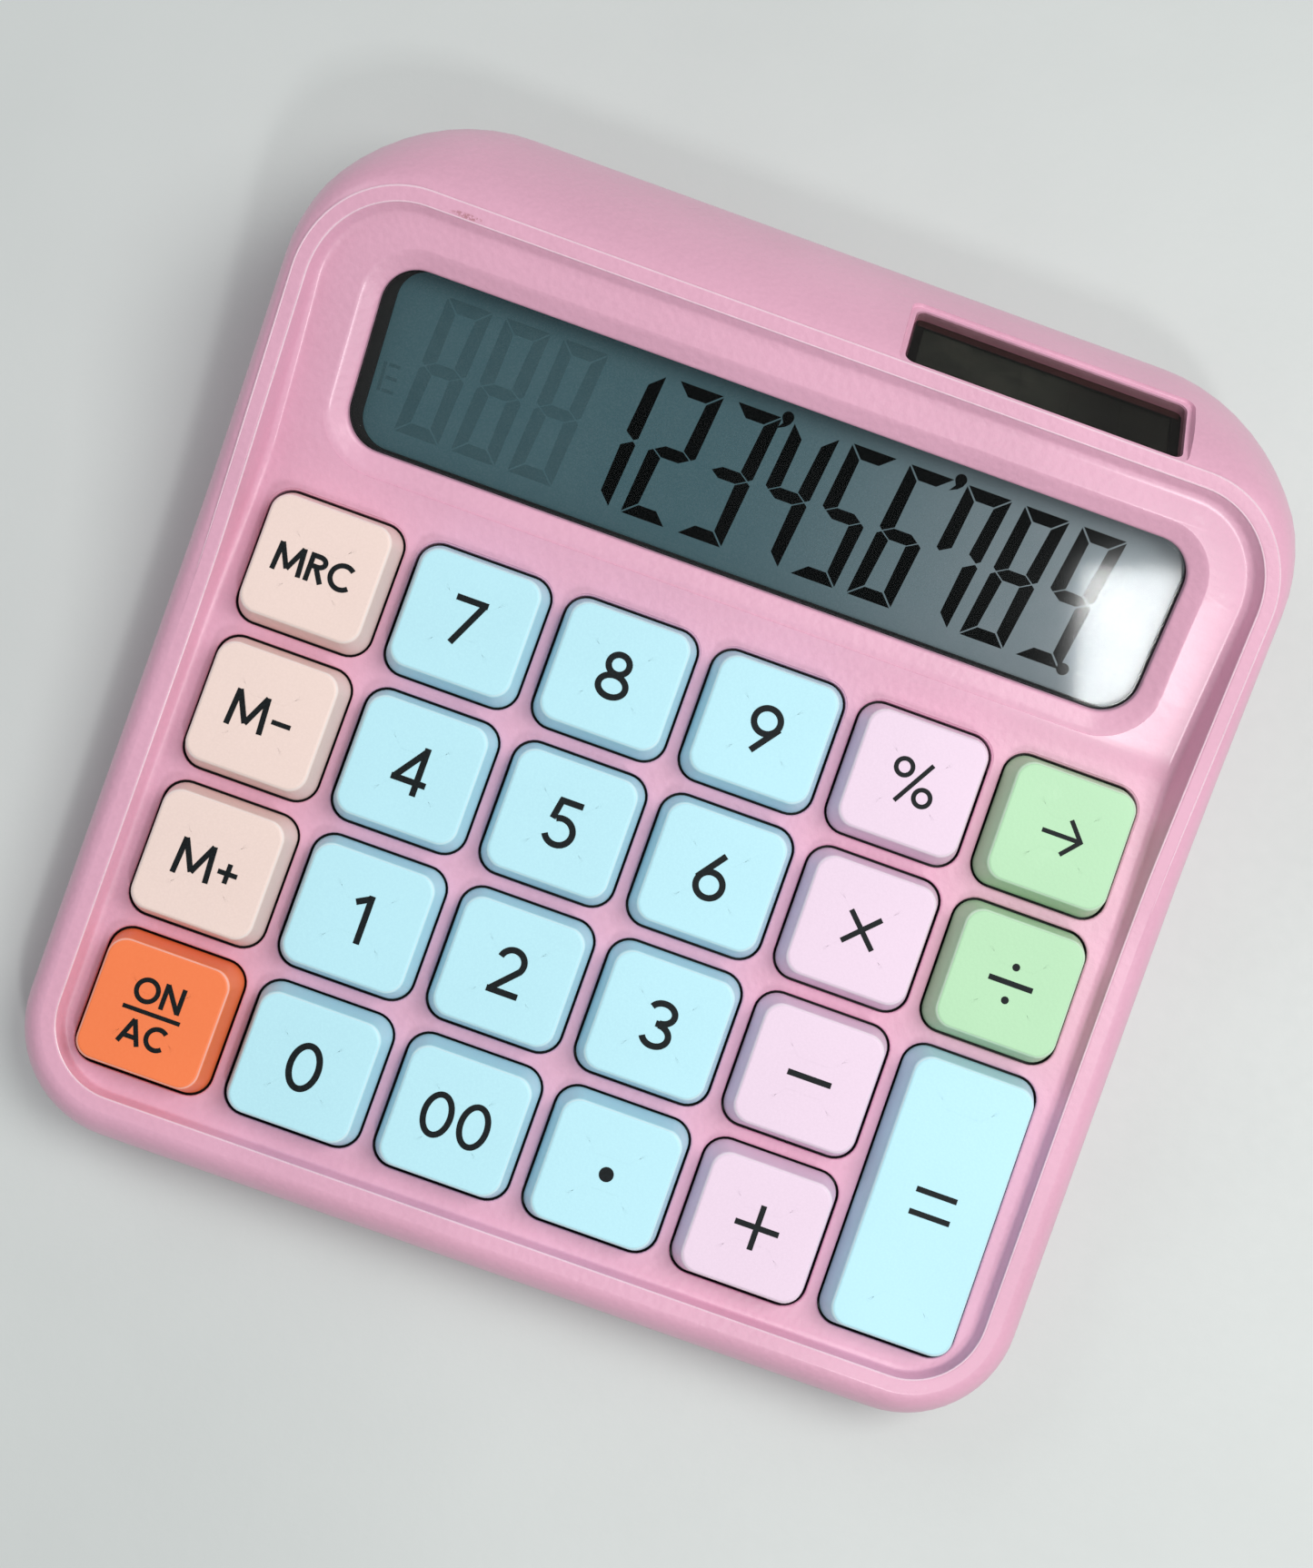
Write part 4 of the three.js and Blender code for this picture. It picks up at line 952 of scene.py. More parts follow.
def battery_door_mesh():
    """Sliding battery door with softened edges, a ribbed thumb grip and an arrow."""
    half_y, middle = (DOOR_BACK - DOOR_FRONT) / 2, (DOOR_BACK + DOOR_FRONT) / 2
    profile = eased([(0.5, FLOOR_LOW), (0, FLOOR_LOW), (0, FLOOR_LOW + DOOR_THICKNESS)], 0.3, 3)
    plate = loft([centred(DOOR_X - inset, half_y - inset, 0.9, z) for inset, z in profile], 5)
    grips = [block(-8, 8, DOOR_BACK - 4.4 - 1.6 * i, DOOR_BACK - 3.6 - 1.6 * i, -1, FLOOR_LOW + 0.5)
             for i in range(4)]
    tip = DOOR_BACK - 12
    corners = ((-3, tip - 4.5), (3, tip - 4.5), (0, tip))
    arrow = ([(x, y, z) for z in (-1, FLOOR_LOW + 0.3) for x, y in corners],
             [(2, 1, 0), (3, 4, 5), (0, 1, 4, 3), (1, 2, 5, 4), (2, 0, 3, 5)])
    return carved("battery_door_cover", shifted(plate, 0, middle), [
        ("DIFFERENCE", gathered(grips)), ("DIFFERENCE", arrow)])


def foot_mesh(x, y):
    profile = eased([(FOOT_RADIUS - 1.2, 0.25), (FOOT_RADIUS - 1.3, 0.0), (FOOT_RADIUS, 0.0),
                     (FOOT_RADIUS, FOOT_HEIGHT)], [0.1, 0.35], 4)
    rows = [(FOOT_RADIUS - 2.6, 0.25), (FOOT_RADIUS - 1.6, 0.25)] + [tuple(p) for p in profile[1:]]
    return as_mesh("foot", turned_profile(rows, 48, x, y))


def screw_mesh(x, y):
    """Pan-head screw with a cross recess, its head down in its well."""
    under = parting_z(y) + TONGUE_HEIGHT - POST_LAND - FIT
    dome = [(0.9, -HEAD_HEIGHT), (1.6, -HEAD_HEIGHT + 0.08), (1.95, -HEAD_HEIGHT + 0.35), (HEAD, -0.8),
            (HEAD, -0.12), (HEAD - 0.12, 0.0), (SHANK, 0.0)]
    thread = []
    for turn in range(9):
        z = 0.3 + turn * 0.65
        thread += [(SHANK - 0.25, z), (SHANK, z + 0.25), (SHANK, z + 0.35)]
    head = turned_profile([(r, under + z) for r, z in dome + thread], 32, x, y)
    low, high = under - HEAD_HEIGHT - 1, under - HEAD_HEIGHT + 0.7
    arm, narrow = 0.65 * HEAD, 0.28
    return carved("screw", head, [
        ("DIFFERENCE", block(x - a, x + a, y - b, y + b, low, high))
        for a, b in ((arm, narrow), (narrow, arm))])


# ---------------------------------------------------------------- keys and legends

def key_rings(half_x, half_y, dish):
    """Key cap: a retaining flange, sides that lean in, a soft upper edge and a faintly dished top."""
    half_x, half_y = half_x - KEY_GAP, half_y - KEY_GAP
    corner = OPENING_CORNER - KEY_GAP

    def at(inset, z):
        return centred(half_x - inset, half_y - inset, corner - 0.5 * inset, z)

    roof = KEY_RISE - KEY_ROOF
    shoulder = [(-KEY_GAP - FLANGE, FLANGE_LOW), (-KEY_GAP - FLANGE, FLANGE_LOW + FLANGE_DEPTH),
                (0, FLANGE_LOW + FLANGE_DEPTH), (0, 0.1)]
    side = eased([(0, -0.4), (KEY_LEAN, KEY_RISE - 0.8 * KEY_EDGE),
                  (KEY_LEAN + 0.75 * KEY_EDGE, KEY_RISE),
                  (KEY_LEAN + KEY_EDGE + 1.4, KEY_RISE - 0.3 * dish)], [0.2, 0.2], 3)
    hollow = [centred(KEY_STEM, KEY_STEM, 0.5, FLANGE_LOW + 0.2),
              centred(KEY_STEM, KEY_STEM, 0.5, roof),
              at(KEY_WALL + KEY_LEAN, roof), at(KEY_WALL, FLANGE_LOW)]
    rings = hollow + [at(*p) for p in shoulder[:3]] + [at(*p) for p in side]
    for share in (0.45, 0.7, 0.9):
        inset = KEY_LEAN + KEY_EDGE + 1.4 + share * 5.2
        rings.append(at(inset, KEY_RISE - dish * (0.3 + 0.7 * share)))
    return rings


def bar(a, b, width):
    """A stroke between two points with square ends."""
    a, b = Vector(a), Vector(b)
    along = (b - a).normalized()
    across = Vector((-along.y, along.x)) * width / 2
    return [a - across, b - across, b + across, a + across]


def sweep(points, width):
    """A stroke along a line of points, as one outline."""
    line = [Vector(p) for p in points]
    points = [p for i, p in enumerate(line) if i == 0 or (p - line[i - 1]).length > 1e-4]
    left, right = [], []
    for i, p in enumerate(points):
        before = (p - points[i - 1]).normalized() if i else None
        after = (points[i + 1] - p).normalized() if i + 1 < len(points) else None
        along = ((before or after) + (after or before)).normalized()
        across = Vector((-along.y, along.x))
        stretch = 1 / max(0.35, along.dot(after or before))
        left.append(p + across * width / 2 * stretch)
        right.append(p - across * width / 2 * stretch)
    return right + left[::-1]


def arc(x, y, rx, ry, start, end, steps=28):
    """Points on an ellipse, in degrees from the right, anticlockwise."""
    return [(x + rx * math.cos(a * DEG), y + ry * math.sin(a * DEG))
            for a in (start + (end - start) * i / steps for i in range(steps + 1))]


def disc(x, y, radius):
    return [Vector(p) for p in arc(x, y, radius, radius, 0, 360, 32)[:-1]]


def loop(x, y, rx, ry, width):
    """A closed round stroke, as two overlapping halves."""
    return [sweep(arc(x, y, rx, ry, 0, 181), width), sweep(arc(x, y, rx, ry, 180, 361), width)]


def strokes(sign, w):
    """Outlines and width of a sign that is one high; w is the width of its stroke."""
    h = w / 2
    if sign == "0":
        return loop(0.35, 0.5, 0.35 - h, 0.5 - h, w), 0.7
    if sign == "1":
        return [bar((0.31, 0), (0.31, 1), w), sweep([(0.3, 1 - h), (0.035, 0.79)], w)], 0.37
    if sign == "2":
        bowl = arc(0.315, 0.69, 0.315 - h, 0.31 - h, 168, -32)
        return [sweep(bowl + [(0.06, h * 1.1)], w), bar((0, h), (0.645, h), w)], 0.645
    if sign == "3":
        return [sweep(arc(0.315, 0.735, 0.255, 0.265 - h, 158, -90), w),
                sweep(arc(0.315, 0.28, 0.33 - h, 0.28 - h, 90, -160), w),
                bar((0.25, 0.515), (0.34, 0.515), w)], 0.66
    if sign == "4":
        return [bar((0.53, 0), (0.53, 1), w), sweep([(0.53, 0.93), (0.06, 0.27)], w),
                bar((0, 0.265), (0.72, 0.265), w)], 0.72
    if sign == "5":
        bowl = arc(0.33, 0.32, 0.345 - h, 0.335 - h, 118, -155)
        return [sweep([(0.2, 0.96), (0.125, 0.54)], w), bar((0.145, 1 - h), (0.64, 1 - h), w),
                sweep(bowl, w)], 0.69
    if sign == "6":
        bowl = loop(0.33, 0.325, 0.335 - h, 0.325 - h, w)
        return bowl + [sweep([(0.47, 0.98), (0.045, 0.41)], w)], 0.67
    if sign == "7":
        return [bar((0, 1 - h), (0.66, 1 - h), w), sweep([(0.6, 1 - h), (0.17, 0.02)], w)], 0.67
    if sign == "8":
        return (loop(0.345, 0.735, 0.275 - h, 0.265 - h, w)
                + loop(0.345, 0.285, 0.345 - h, 0.285 - h, w)), 0.69
    if sign == "9":
        bowl = loop(0.335, 0.675, 0.335 - h, 0.325 - h, w)
        return bowl + [sweep([(0.625, 0.59), (0.2, 0.02)], w)], 0.67
    if sign == "M":
        return [sweep([(0.075, 0), (0.14, 1)], w), sweep([(0.14, 0.99), (0.53, 0.16)], w),
                sweep([(0.53, 0.16), (0.92, 0.99)], w), sweep([(0.92, 1), (0.985, 0)], w)], 1.06
    if sign == "R":
        bend = arc(0.33, 0.735, 0.24, 0.265 - h, 90, -90, 16)
        bowl = [(0.1, 1 - h), (0.33, 1 - h)] + bend + [(0.1, 0.47 + h)]
        return [bar((h, 0), (h, 1), w), sweep(bowl, w), sweep([(0.32, 0.5), (0.6, 0.03)], w)], 0.64
    if sign == "C":
        return [sweep(arc(0.5, 0.5, 0.5 - h, 0.5 - h, 46, 314), w)], 0.92
    if sign == "O":
        return loop(0.5, 0.5, 0.5 - h, 0.5 - h, w), 1.0
    if sign == "N":
        return [bar((h, 0), (h, 1), w), bar((0.82 - h, 0), (0.82 - h, 1), w),
                sweep([(h, 0.97), (0.82 - h, 0.03)], w)], 0.82
    if sign == "A":
        return [sweep([(0.06, 0), (0.45, 0.98)], w), sweep([(0.45, 0.98), (0.84, 0)], w),
                bar((0.2, 0.3), (0.7, 0.3), w)], 0.9
    raise ValueError(sign)


def word(signs, size, width, spread, x=0.0, y=0.0):
    """Signs in a row, centred on a point; spread is the space between them."""
    drawn = [strokes(sign, width / size) for sign in signs]
    total = sum(wide for _, wide in drawn) * size + spread * (len(signs) - 1)
    at, outlines = x - total / 2, []
    for lines, wide in drawn:
        outlines += [[Vector((at + p.x * size, y + (p.y - 0.5) * size)) for p in line] for line in lines]
        at += wide * size + spread
    return outlines


def legend_outlines(label, tall, stroke):
    """Outlines of a key's legend round the middle of its top."""
    if label in "0123456789":
        return word(label, tall, stroke, 0)
    if label == "00":
        return word("00", tall * 0.94, stroke * 0.95, 0.75)
    if label == "MRC":
        return word("MRC", 4.2, 0.73, 0.45, -0.2)
    if label == "M-":
        return word("M", 5.35, 0.8, 0, -1.95) + [bar((1.6, -0.3), (4.4, -0.3), 0.7)]
    if label == "M+":
        return word("M", 5.3, 0.8, 0, -1.85) + [bar((1.7, -0.35), (4.55, -0.35), 0.7),
                                                 bar((3.12, -1.78), (3.12, 1.08), 0.7)]
    if label == "ON/AC":
        return (word("ON", 3.75, 0.67, 0.35, -0.05, 2.75) + word("AC", 3.65, 0.67, 0.3, -0.15, -3.3)
                + [bar((-4.35, -0.2), (4.1, -0.2), 0.6)])
    if label == "%":
        return (loop(-1.95, 1.75, 1.2, 1.2, 0.66) + loop(1.85, -1.7, 1.2, 1.2, 0.66)
                + [sweep([(-1.8, -3.25), (1.95, 3.25)], 0.64)])
    if label == "arrow":
        return [bar((-3.0, 0), (2.7, 0), 0.65), sweep([(0.6, 2.6), (2.8, 0), (0.5, -2.6)], 0.65)]
    if label == "times":
        return [bar((-2.3, -2.3), (2.3, 2.3), 0.76), bar((-2.3, 2.3), (2.3, -2.3), 0.76)]
    if label == "divide":
        return [bar((-3.3, 0), (3.3, 0), 0.8), disc(0, 2.42, 0.55), disc(0, -2.5, 0.55)]
    if label == "minus":
        return [bar((-3.25, 0), (3.25, 0), 0.85)]
    if label == "plus":
        return [bar((-3.25, 0), (3.25, 0), 0.82), bar((0, -3.25), (0, 3.25), 0.82)]
    if label == "equals":
        return [bar((-3.03, y), (3.03, y), 0.8) for y in (1.64, -1.64)]
    if label == "point":
        return [disc(0, 0, 1.06)]
    raise ValueError(label)


def slab(outline, low, high):
    """A thin plate of an outline."""
    area = sum(a.x * b.y - b.x * a.y for a, b in zip(outline, outline[1:] + outline[:1]))
    line = outline if area > 0 else outline[::-1]
    count = len(line)
    points = [(p.x, p.y, low) for p in line] + [(p.x, p.y, high) for p in line]
    faces = [tuple(reversed(range(count))), tuple(range(count, 2 * count))]
    faces += [(i, (i + 1) % count, (i + 1) % count + count, i + count) for i in range(count)]
    return points, faces


def printed(name, outlines, low, high, matrix):
    """Flat print of joined outlines, as one mesh."""
    slabs = [moved(slab(line, low, high), matrix) for line in outlines]
    return carved(name, slabs[0], [("UNION", s) for s in slabs[1:]])


# ---------------------------------------------------------------- display

# Millimetres in the display's frame, and the segments that each number lights.
LIT = {"1": "bc", "2": "abged", "3": "abgcd", "4": "fgbc", "5": "afgcd", "6": "afgedc", "7": "fabc",
       "8": "abcdefg", "9": "abcdfg"}
SEGMENT_WIDE, SEGMENT_THICK, SEGMENT_GAP = 6.75, 2.05, 0.13
SEGMENT_SLANT = 5.6 * DEG
DIGIT_COLUMNS, DIGIT_RIGHT, DIGIT_RAISE = 12, 51.1, 0.33


def segment_outlines(which, x, y, tall):
    """Seven-segment outlines; x and y are the lower left corner of the upright cell."""
    wide, t, g, half = SEGMENT_WIDE, SEGMENT_THICK, SEGMENT_GAP, tall / 2
    c = t * 0.5
    lean = math.tan(SEGMENT_SLANT)
    end, rise = t * 0.92, t * 0.88
    upright = [(0, g * 1.6), (end, rise + g * 1.6), (t, half - c * 0.9 - g), (c * 0.55, half - g * 0.8),
               (0, half - c * 0.5)]
    shapes = {
        "a": [(g, tall), (wide - g, tall), (wide - end - g, tall - rise), (end + g, tall - rise)],
        "d": [(g, 0), (end + g, rise), (wide - end - g, rise), (wide - g, 0)],
        "g": [(c * 0.6 + g, half), (t, half + c * 0.84), (wide - t, half + c * 0.84),
              (wide - c * 0.6 - g, half), (wide - t, half - c * 0.84), (t, half - c * 0.84)],
        "e": upright,
        "c": [(wide - px, py) for px, py in upright],
        "f": [(px, tall - py) for px, py in upright],
        "b": [(wide - px, tall - py) for px, py in upright],
    }
    return [[Vector((x + px + py * lean, y + py)) for px, py in shapes[name]] for name in which]


def display_marks(tall, pitch):
    """Outlines of the dark marks and of the faint, unlit ones."""
    low = DIGIT_RAISE - tall / 2
    lean = math.tan(SEGMENT_SLANT)
    right = DIGIT_RIGHT - tall * lean
    lit, ghost = [], []
    for column in range(DIGIT_COLUMNS):
        x = right - SEGMENT_WIDE - (DIGIT_COLUMNS - 1 - column) * pitch
        number = str(column - 2)
        which = LIT.get(number, "")
        lit += segment_outlines(which, x, low, tall)
        if not which:
            ghost += segment_outlines("abcdefg", x, low, tall)
        if number in ("3", "6"):
            top = low + tall + 1.1
            at = x + SEGMENT_WIDE + (tall + 0.4) * lean
            head = arc(at + 0.75, top - 0.8, 0.85, 0.85, -35, 215, 20)
            tail = [(at + 0.3, top - 1.75), (at - 0.35, top - 2.75), (at + 0.75, top - 2.2),
                    (at + 1.35, top - 1.6)]
            lit.append([Vector(p) for p in head + tail])
    lit.append(disc(DIGIT_RIGHT - 1.5, low + 0.25, 0.92))
    for y in (-1.2, -3.1, -5.0):
        ghost.append(bar((-57.0, y), (-55.3, y), 0.5))
    ghost.append(bar((-57.55, -5.25), (-57.55, -0.95), 0.5))
    return lit, ghost


# ---------------------------------------------------------------- settings

def colour_setting(name, description, default):
    return FloatVectorProperty(name=name, description=description, subtype="COLOR", size=3, min=0, max=1,
                               default=default)


def length_setting(name, description, default):
    return FloatProperty(name=name, description=description, default=default, precision=5,
                         subtype="DISTANCE", unit="LENGTH")


def power_setting(name, description, default):
    return FloatProperty(name=name, description=description, default=default, subtype="POWER", unit="POWER")


class CalculatorColours(bpy.types.PropertyGroup):
    """Colours of the plastics, as seen on screen."""
    case: colour_setting("Case", "Case plastic", (0.882, 0.668, 0.76))
    cream: colour_setting("Cream keys", "Memory keys", (0.945, 0.855, 0.82))
    blue: colour_setting("Blue keys", "Digit keys", (0.73, 0.92, 0.965))
    lilac: colour_setting("Lilac keys", "Sign keys", (0.92, 0.83, 0.905))
    green: colour_setting("Green keys", "Correction and division keys", (0.7, 0.875, 0.71))
    orange: colour_setting("Orange key", "Power key", (0.985, 0.51, 0.3))
    floor: colour_setting("Table", "Table top", (0.82, 0.84, 0.833))


class CalculatorSizes(bpy.types.PropertyGroup):
    """Sizes that a user would change."""
    opening_edge: length_setting("Opening edge", "Roundness round each key opening", 0.0003)
    crest_edge: length_setting("Crest edge", "Height of the fine outer edge of the rim's crest", 0.00036)
    key_dish: length_setting("Key dish", "Depth of the hollow in a key's top", 0.00003)
    print_height: length_setting("Print height", "Thickness of the printed legends", 0.00003)
    digit_height: length_setting("Legend height", "Height of the digits on the keys", 0.0071)
    digit_stroke: length_setting("Legend stroke", "Width of the strokes on the keys", 0.00091)
    segment_height: length_setting("Display digits", "Height of the digits on the display", 0.0206)
    segment_pitch: length_setting("Display pitch", "From one display digit to the next", 0.00873)


class CalculatorStage(bpy.types.PropertyGroup):
    """Camera and light."""
    lens: FloatProperty(name="Lens", description="Focal length in millimetres", default=45.42)
    key_power: power_setting("Main light", "Power of the large soft light", 2.9)
    fill_power: power_setting("Fill light", "Power of the second light", 1.4)
    surround: FloatProperty(name="Surround", description="Strength of the even light", default=0.32)
    glare_power: power_setting("Window glare", "Power of the small light that shows in the window", 0.68)


# ---------------------------------------------------------------- operators

class CALCULATOR_OT_case(bpy.types.Operator):
    """Build the upper and lower shells of the case"""
    bl_idname = "calculator.case"
    bl_label = "Case"

    def execute(self, context):
        sizes = context.scene.calculator_sizes
        top = case_top_mesh(sizes.opening_edge / MM, sizes.crest_edge / MM)
        piece("case_top", top, finish("case"), "case", ["top_shell"], 40)
        # Fine beads along the crest and the inner edge in a paler finish: painted highlights.
        outer = bead_mesh(RIM_RUN + 0.1, 0.19, back_fade)
        piece("rim_line_outer", outer, finish("rim_line"), "case")
        inner = bead_mesh(WALL_RUN - 0.08, 0.15, lambda y: 1.0)
        piece("rim_line_inner", inner, finish("rim_line"), "case")
        piece("case_bottom", case_bottom_mesh(), finish("case"), "case",
              ["bottom_shell"], 35)
        return {"FINISHED"}


class CALCULATOR_OT_battery_door(bpy.types.Operator):
    """Build the sliding battery door"""
    bl_idname = "calculator.battery_door"
    bl_label = "Battery door"

    def execute(self, context):
        piece("battery_door_cover", battery_door_mesh(), finish("case"), "battery_door",
              ["battery_door"])
        return {"FINISHED"}


class CALCULATOR_OT_feet(bpy.types.Operator):
    """Build the four rubber feet and the six case screws"""
    bl_idname = "calculator.feet"
    bl_label = "Feet and screws"

    def execute(self, context):
        for x, y, name in FEET:
            piece(name.replace("foot", "rubber_foot"), foot_mesh(x, y), finish("foot"), "case",
                  [name])
        for x, y, name in SCREWS:
            piece(name.replace("case_screw", "pan_screw"), screw_mesh(x, y), finish("steel"), "case",
                  [name])
        return {"FINISHED"}


class CALCULATOR_OT_keys(bpy.types.Operator):
    """Build the 23 key caps"""
    bl_idname = "calculator.keys"
    bl_label = "Key caps"

    def execute(self, context):
        dish = context.scene.calculator_sizes.key_dish / MM
        for name, column, row, colour, _, rows in KEYS:
            x, y, half_x, half_y = key_place(column, row, rows)
            shape = loft(key_rings(half_x, half_y, dish), 8)
            mesh = as_mesh("cap", moved(shifted(shape, x, y), PLATE))
            piece(name.replace("key", "cap"), mesh, finish(colour), name, [name], 38)
        return {"FINISHED"}


class CALCULATOR_OT_legends(bpy.types.Operator):
    """Print the legends on the key caps"""
    bl_idname = "calculator.legends"
    bl_label = "Legends"

    def execute(self, context):
        sizes = context.scene.calculator_sizes
        dish, thick = sizes.key_dish / MM, sizes.print_height / MM
        for name, column, row, colour, label, rows in KEYS:
            x, y, _, _ = key_place(column, row, rows)
            outlines = legend_outlines(label, sizes.digit_height / MM, sizes.digit_stroke / MM)
            place = PLATE @ Matrix.Translation((x, y, KEY_RISE))
            mesh = printed("legend", outlines, -dish - 0.02, thick, place)
            piece(name.replace("key", "legend"), mesh, finish("ink"), name)
        return {"FINISHED"}


class CALCULATOR_OT_display(bpy.types.Operator):
    """Build the clear window, its gasket and the liquid crystal panel with its digits"""
    bl_idname = "calculator.display"
    bl_label = "Display"

    def execute(self, context):
        sizes = context.scene.calculator_sizes
        profile = [(LENS_FLANGE, LENS_SEAT - LENS_FLANGE_THICKNESS), (LENS_FLANGE, LENS_SEAT),
                   (-FIT, LENS_SEAT), (-FIT, -BORDER_DEPTH - 0.35), (-FIT - 0.12, -BORDER_DEPTH - 0.08),
                   (-FIT - 0.4, -BORDER_DEPTH)]
        lens = loft([window_ring(grow, z) for grow, z in profile], 14, (), False)
        fitted("display_window", lens, DISPLAY, "lens", ["display_lens"])
        sheet = loft([window_ring(LENS_FLANGE, z) for z in (GASKET_TOP - GASKET, GASKET_TOP)], 10, (), False)
        hole = [ring(WINDOW_X - (GASKET_LEFT + GASKET_RIGHT) / 2, GASKET_FRONT - WINDOW_Y,
                     WINDOW_Y - GASKET_BACK, WINDOW_CORNER - 1, WINDOW_CORNER - 1, z) for z in (-12, 0)]
        cut = shifted(loft(hole, 12, (), False), (GASKET_LEFT - GASKET_RIGHT) / 2, 0)
        fitted("window_gasket", sheet, DISPLAY, "gasket", ["lcd_gasket"], [cut])

        lit, ghost = display_marks(sizes.segment_height / MM, sizes.segment_pitch / MM)
        low, high = LCD_TOP + 0.01, LCD_TOP + 0.03
        for name, outlines, colour in (("display_digits", lit, "lcd_ink"),
                                       ("display_ghosts", ghost, "lcd_ghost")):
            marks = gathered([slab(line, low, high) for line in outlines])
            fitted(name, marks, DISPLAY, colour)
        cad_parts["lcd_glass"].material_slots[0].material = finish("lcd")
        return {"FINISHED"}


class CALCULATOR_OT_solar(bpy.types.Operator):
    """Build the solar cell and its smoked window"""
    bl_idname = "calculator.solar"
    bl_label = "Solar window"

    def execute(self, context):
        half_x, half_y = SOLAR_LENGTH / 2, SOLAR_WIDTH / 2
        profile = [(0, -SOLAR_GLASS), (0, -0.22), (0.06, -0.07), (0.22, 0)]
        glass = loft([centred(half_x - inset, half_y - inset, SOLAR_CORNER - inset, z)
                      for inset, z in profile], 6, (), False)
        fitted("solar_glass", glass, SOLAR, "smoked", ["solar_window"])
        top = -SOLAR_GLASS - FIT
        inset = SOLAR_LEDGE + FIT
        plate = loft([centred(half_x - inset, half_y - inset, 0.3, z) for z in (top - SOLAR_CELL, top)], 3)
        grooves = gathered([block(x - 0.06, x + 0.06, -half_y, half_y, top - 0.04, top + 1)
                            for x in (-11.2, -3.7, 3.7, 11.2)])
        fitted("solar_plate", plate, SOLAR, "cell", ["solar_cell"], [grooves])
        low, high = -SOLAR_GLASS - 0.2, -SOLAR_GLASS - 0.1
        border = loft([centred(half_x, half_y, SOLAR_CORNER, z) for z in (low, high)], 6, (), False)
        hole = block(-half_x + inset, half_x - inset, -half_y + inset, half_y - 1.8, -5, 0)
        fitted("solar_border", border, SOLAR, "gasket", (), [hole])
        strip = block(-half_x + 0.4, half_x - 0.4, half_y - 1.6, half_y - 0.25, high, high + 0.05)
        fitted("solar_strip", strip, SOLAR, "busbar")
        return {"FINISHED"}


class CALCULATOR_OT_inside(bpy.types.Operator):
    """Finish the pieces inside the case"""
    bl_idname = "calculator.inside"
    bl_label = "Inside pieces"

    def execute(self, context):
        inner = {
            "dome_mat": "silicone", "circuit_board": "board", "controller_chip": "resin",
            "board_screw_left": "steel", "board_screw_middle": "steel", "board_screw_right": "steel",
            "lcd_ribbon": "ribbon", "battery_cell": "sleeve", "battery_spring": "steel",
            "battery_plate": "steel",
        }
        for node, name in inner.items():
            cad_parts[node].material_slots[0].material = finish(name)
        return {"FINISHED"}


def soft_light(name, place, target, size, power, colour=(1, 1, 1)):
    light = bpy.data.lights.new(name, "AREA")
    light.shape, light.size, light.size_y = "RECTANGLE", size[0], size[1]
    light.energy, light.color = power, colour
    thing = bpy.data.objects.new(name, light)
    thing.location = place
    thing.rotation_euler = (Vector(target) - Vector(place)).to_track_quat("-Z", "Y").to_euler()
    bpy.context.scene.collection.objects.link(thing)
    return thing


def sheet_mesh(name, reach, cells, height):
    """A square, level sheet of cells that reaches equally far on all sides."""
    mesh = bpy.data.meshes.new(name)
    across = cells + 1
    at = [-reach + 2 * reach * i / cells for i in range(across)]
    points = [(x, y, height) for y in at for x in at]
    corners = [j * across + i for j in range(cells) for i in range(cells)]
    mesh.from_pydata(points, [], [(c, c + 1, c + across + 1, c + across) for c in corners])
    return mesh


# Metres, from the middle of the calculator's underside.
CAMERA_PLACE = (-0.00477, -0.04105, 0.30219)
CAMERA_TURN = (6.564 * DEG, -3.243 * DEG, 19.459 * DEG)
CALCULATOR_MIDDLE = (0.0, 0.0, 0.02)
GLARE_PLACE, GLARE_TARGET = (0.184, -0.295, 0.511), (0.057, 0.031, 0.024)
FLOOR_REACH, FLOOR_CELLS = 1.6, 8


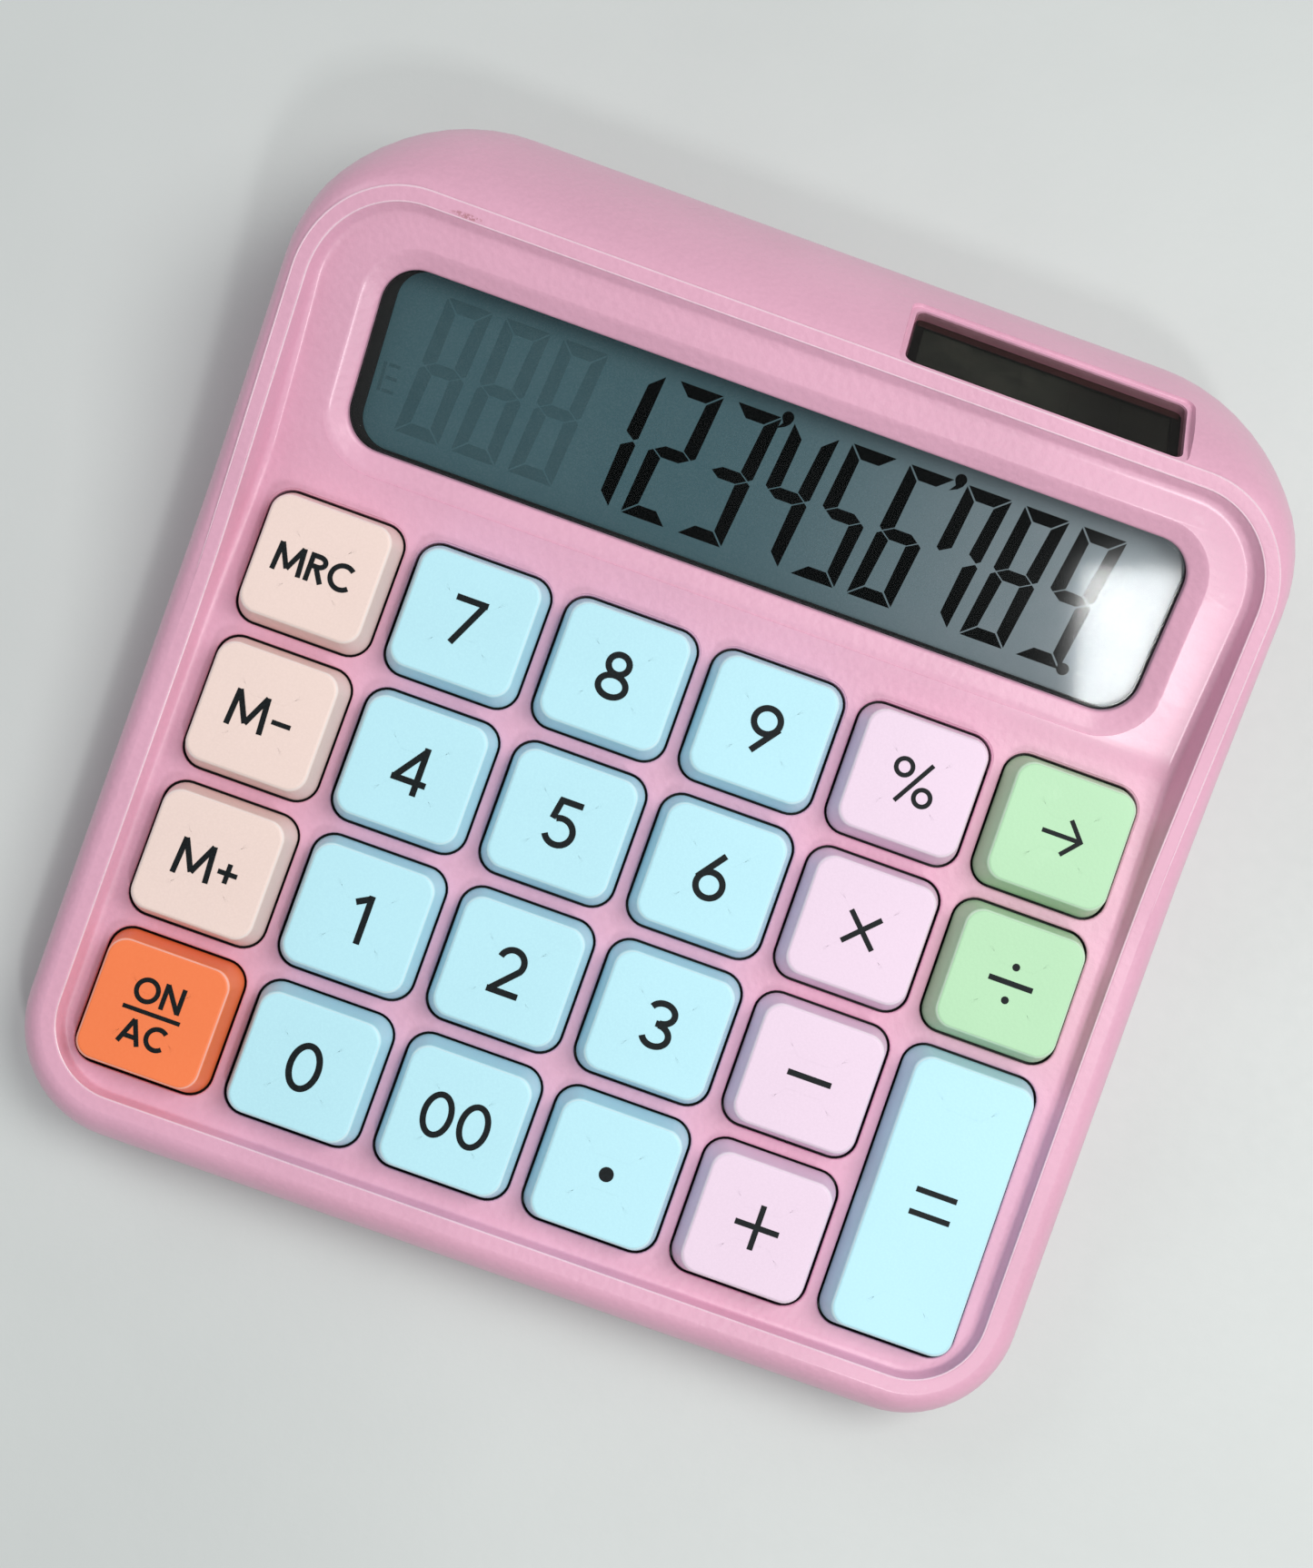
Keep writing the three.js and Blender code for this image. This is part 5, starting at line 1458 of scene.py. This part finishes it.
class CALCULATOR_OT_stage(bpy.types.Operator):
    """Set the table, the soft studio light and the camera"""
    bl_idname = "calculator.stage"
    bl_label = "Stage"

    def execute(self, context):
        scene = context.scene
        stage = scene.calculator_stage
        mesh = sheet_mesh("table_top", FLOOR_REACH, FLOOR_CELLS, CAD_BOX[0].z)
        mesh.materials.append(tabletop("finish_table", linear(scene.calculator_colours.floor)))
        floor = bpy.data.objects.new("table_top", mesh)
        scene.collection.objects.link(floor)

        world = bpy.data.worlds.new("surround")
        world.use_nodes = True
        background = world.node_tree.nodes["Background"].inputs
        background["Color"].default_value = (0.97, 0.985, 1.0, 1)
        background["Strength"].default_value = stage.surround
        scene.world = world
        soft_light("main_light", (0.3, 0.12, 0.62), CALCULATOR_MIDDLE, (0.4, 0.36), stage.key_power,
                   (1.0, 0.99, 0.97))
        soft_light("fill_light", (-0.7, 0.35, 0.6), CALCULATOR_MIDDLE, (0.5, 0.5), stage.fill_power,
                   (0.95, 0.96, 1.0))
        soft_light("glare_light", GLARE_PLACE, GLARE_TARGET, (0.046, 0.066), stage.glare_power)

        camera = bpy.data.cameras.new("camera")
        camera.sensor_width = 36.0
        camera.lens = stage.lens
        camera.clip_start = 0.01
        thing = bpy.data.objects.new("camera", camera)
        thing.location = CAMERA_PLACE
        thing.rotation_euler = CAMERA_TURN
        scene.collection.objects.link(thing)
        scene.camera = thing
        scene.view_settings.view_transform = "Standard"
        return {"FINISHED"}


class CALCULATOR_PT_panel(bpy.types.Panel):
    """Lists the calculator's settings and steps"""
    bl_idname = "CALCULATOR_PT_panel"
    bl_label = "Desk Calculator"
    bl_space_type = "VIEW_3D"
    bl_region_type = "UI"
    bl_category = "Calculator"

    def draw(self, context):
        layout = self.layout
        for title, group in (("Colours", context.scene.calculator_colours),
                             ("Sizes", context.scene.calculator_sizes),
                             ("Stage", context.scene.calculator_stage)):
            box = layout.box()
            box.label(text=title)
            for key in group.__annotations__:
                box.prop(group, key)
        column = layout.column(align=True)
        for step in STEPS:
            column.operator(step.bl_idname)


STEPS = (
    CALCULATOR_OT_case, CALCULATOR_OT_battery_door, CALCULATOR_OT_feet, CALCULATOR_OT_keys,
    CALCULATOR_OT_legends, CALCULATOR_OT_display, CALCULATOR_OT_solar, CALCULATOR_OT_inside,
    CALCULATOR_OT_stage,
)
GROUPS = {
    "calculator_colours": CalculatorColours,
    "calculator_sizes": CalculatorSizes,
    "calculator_stage": CalculatorStage,
}


def register():
    for group in GROUPS.values():
        bpy.utils.register_class(group)
    for key, group in GROUPS.items():
        setattr(bpy.types.Scene, key, PointerProperty(type=group))
    for step in STEPS:
        bpy.utils.register_class(step)
    bpy.utils.register_class(CALCULATOR_PT_panel)


def unregister():
    bpy.utils.unregister_class(CALCULATOR_PT_panel)
    for step in reversed(STEPS):
        bpy.utils.unregister_class(step)
    for key, group in GROUPS.items():
        delattr(bpy.types.Scene, key)
        bpy.utils.unregister_class(group)


def main():
    register()
    for step in STEPS:
        family, name = step.bl_idname.split(".")
        getattr(getattr(bpy.ops, family), name)()


if __name__ == "__main__":
    main()
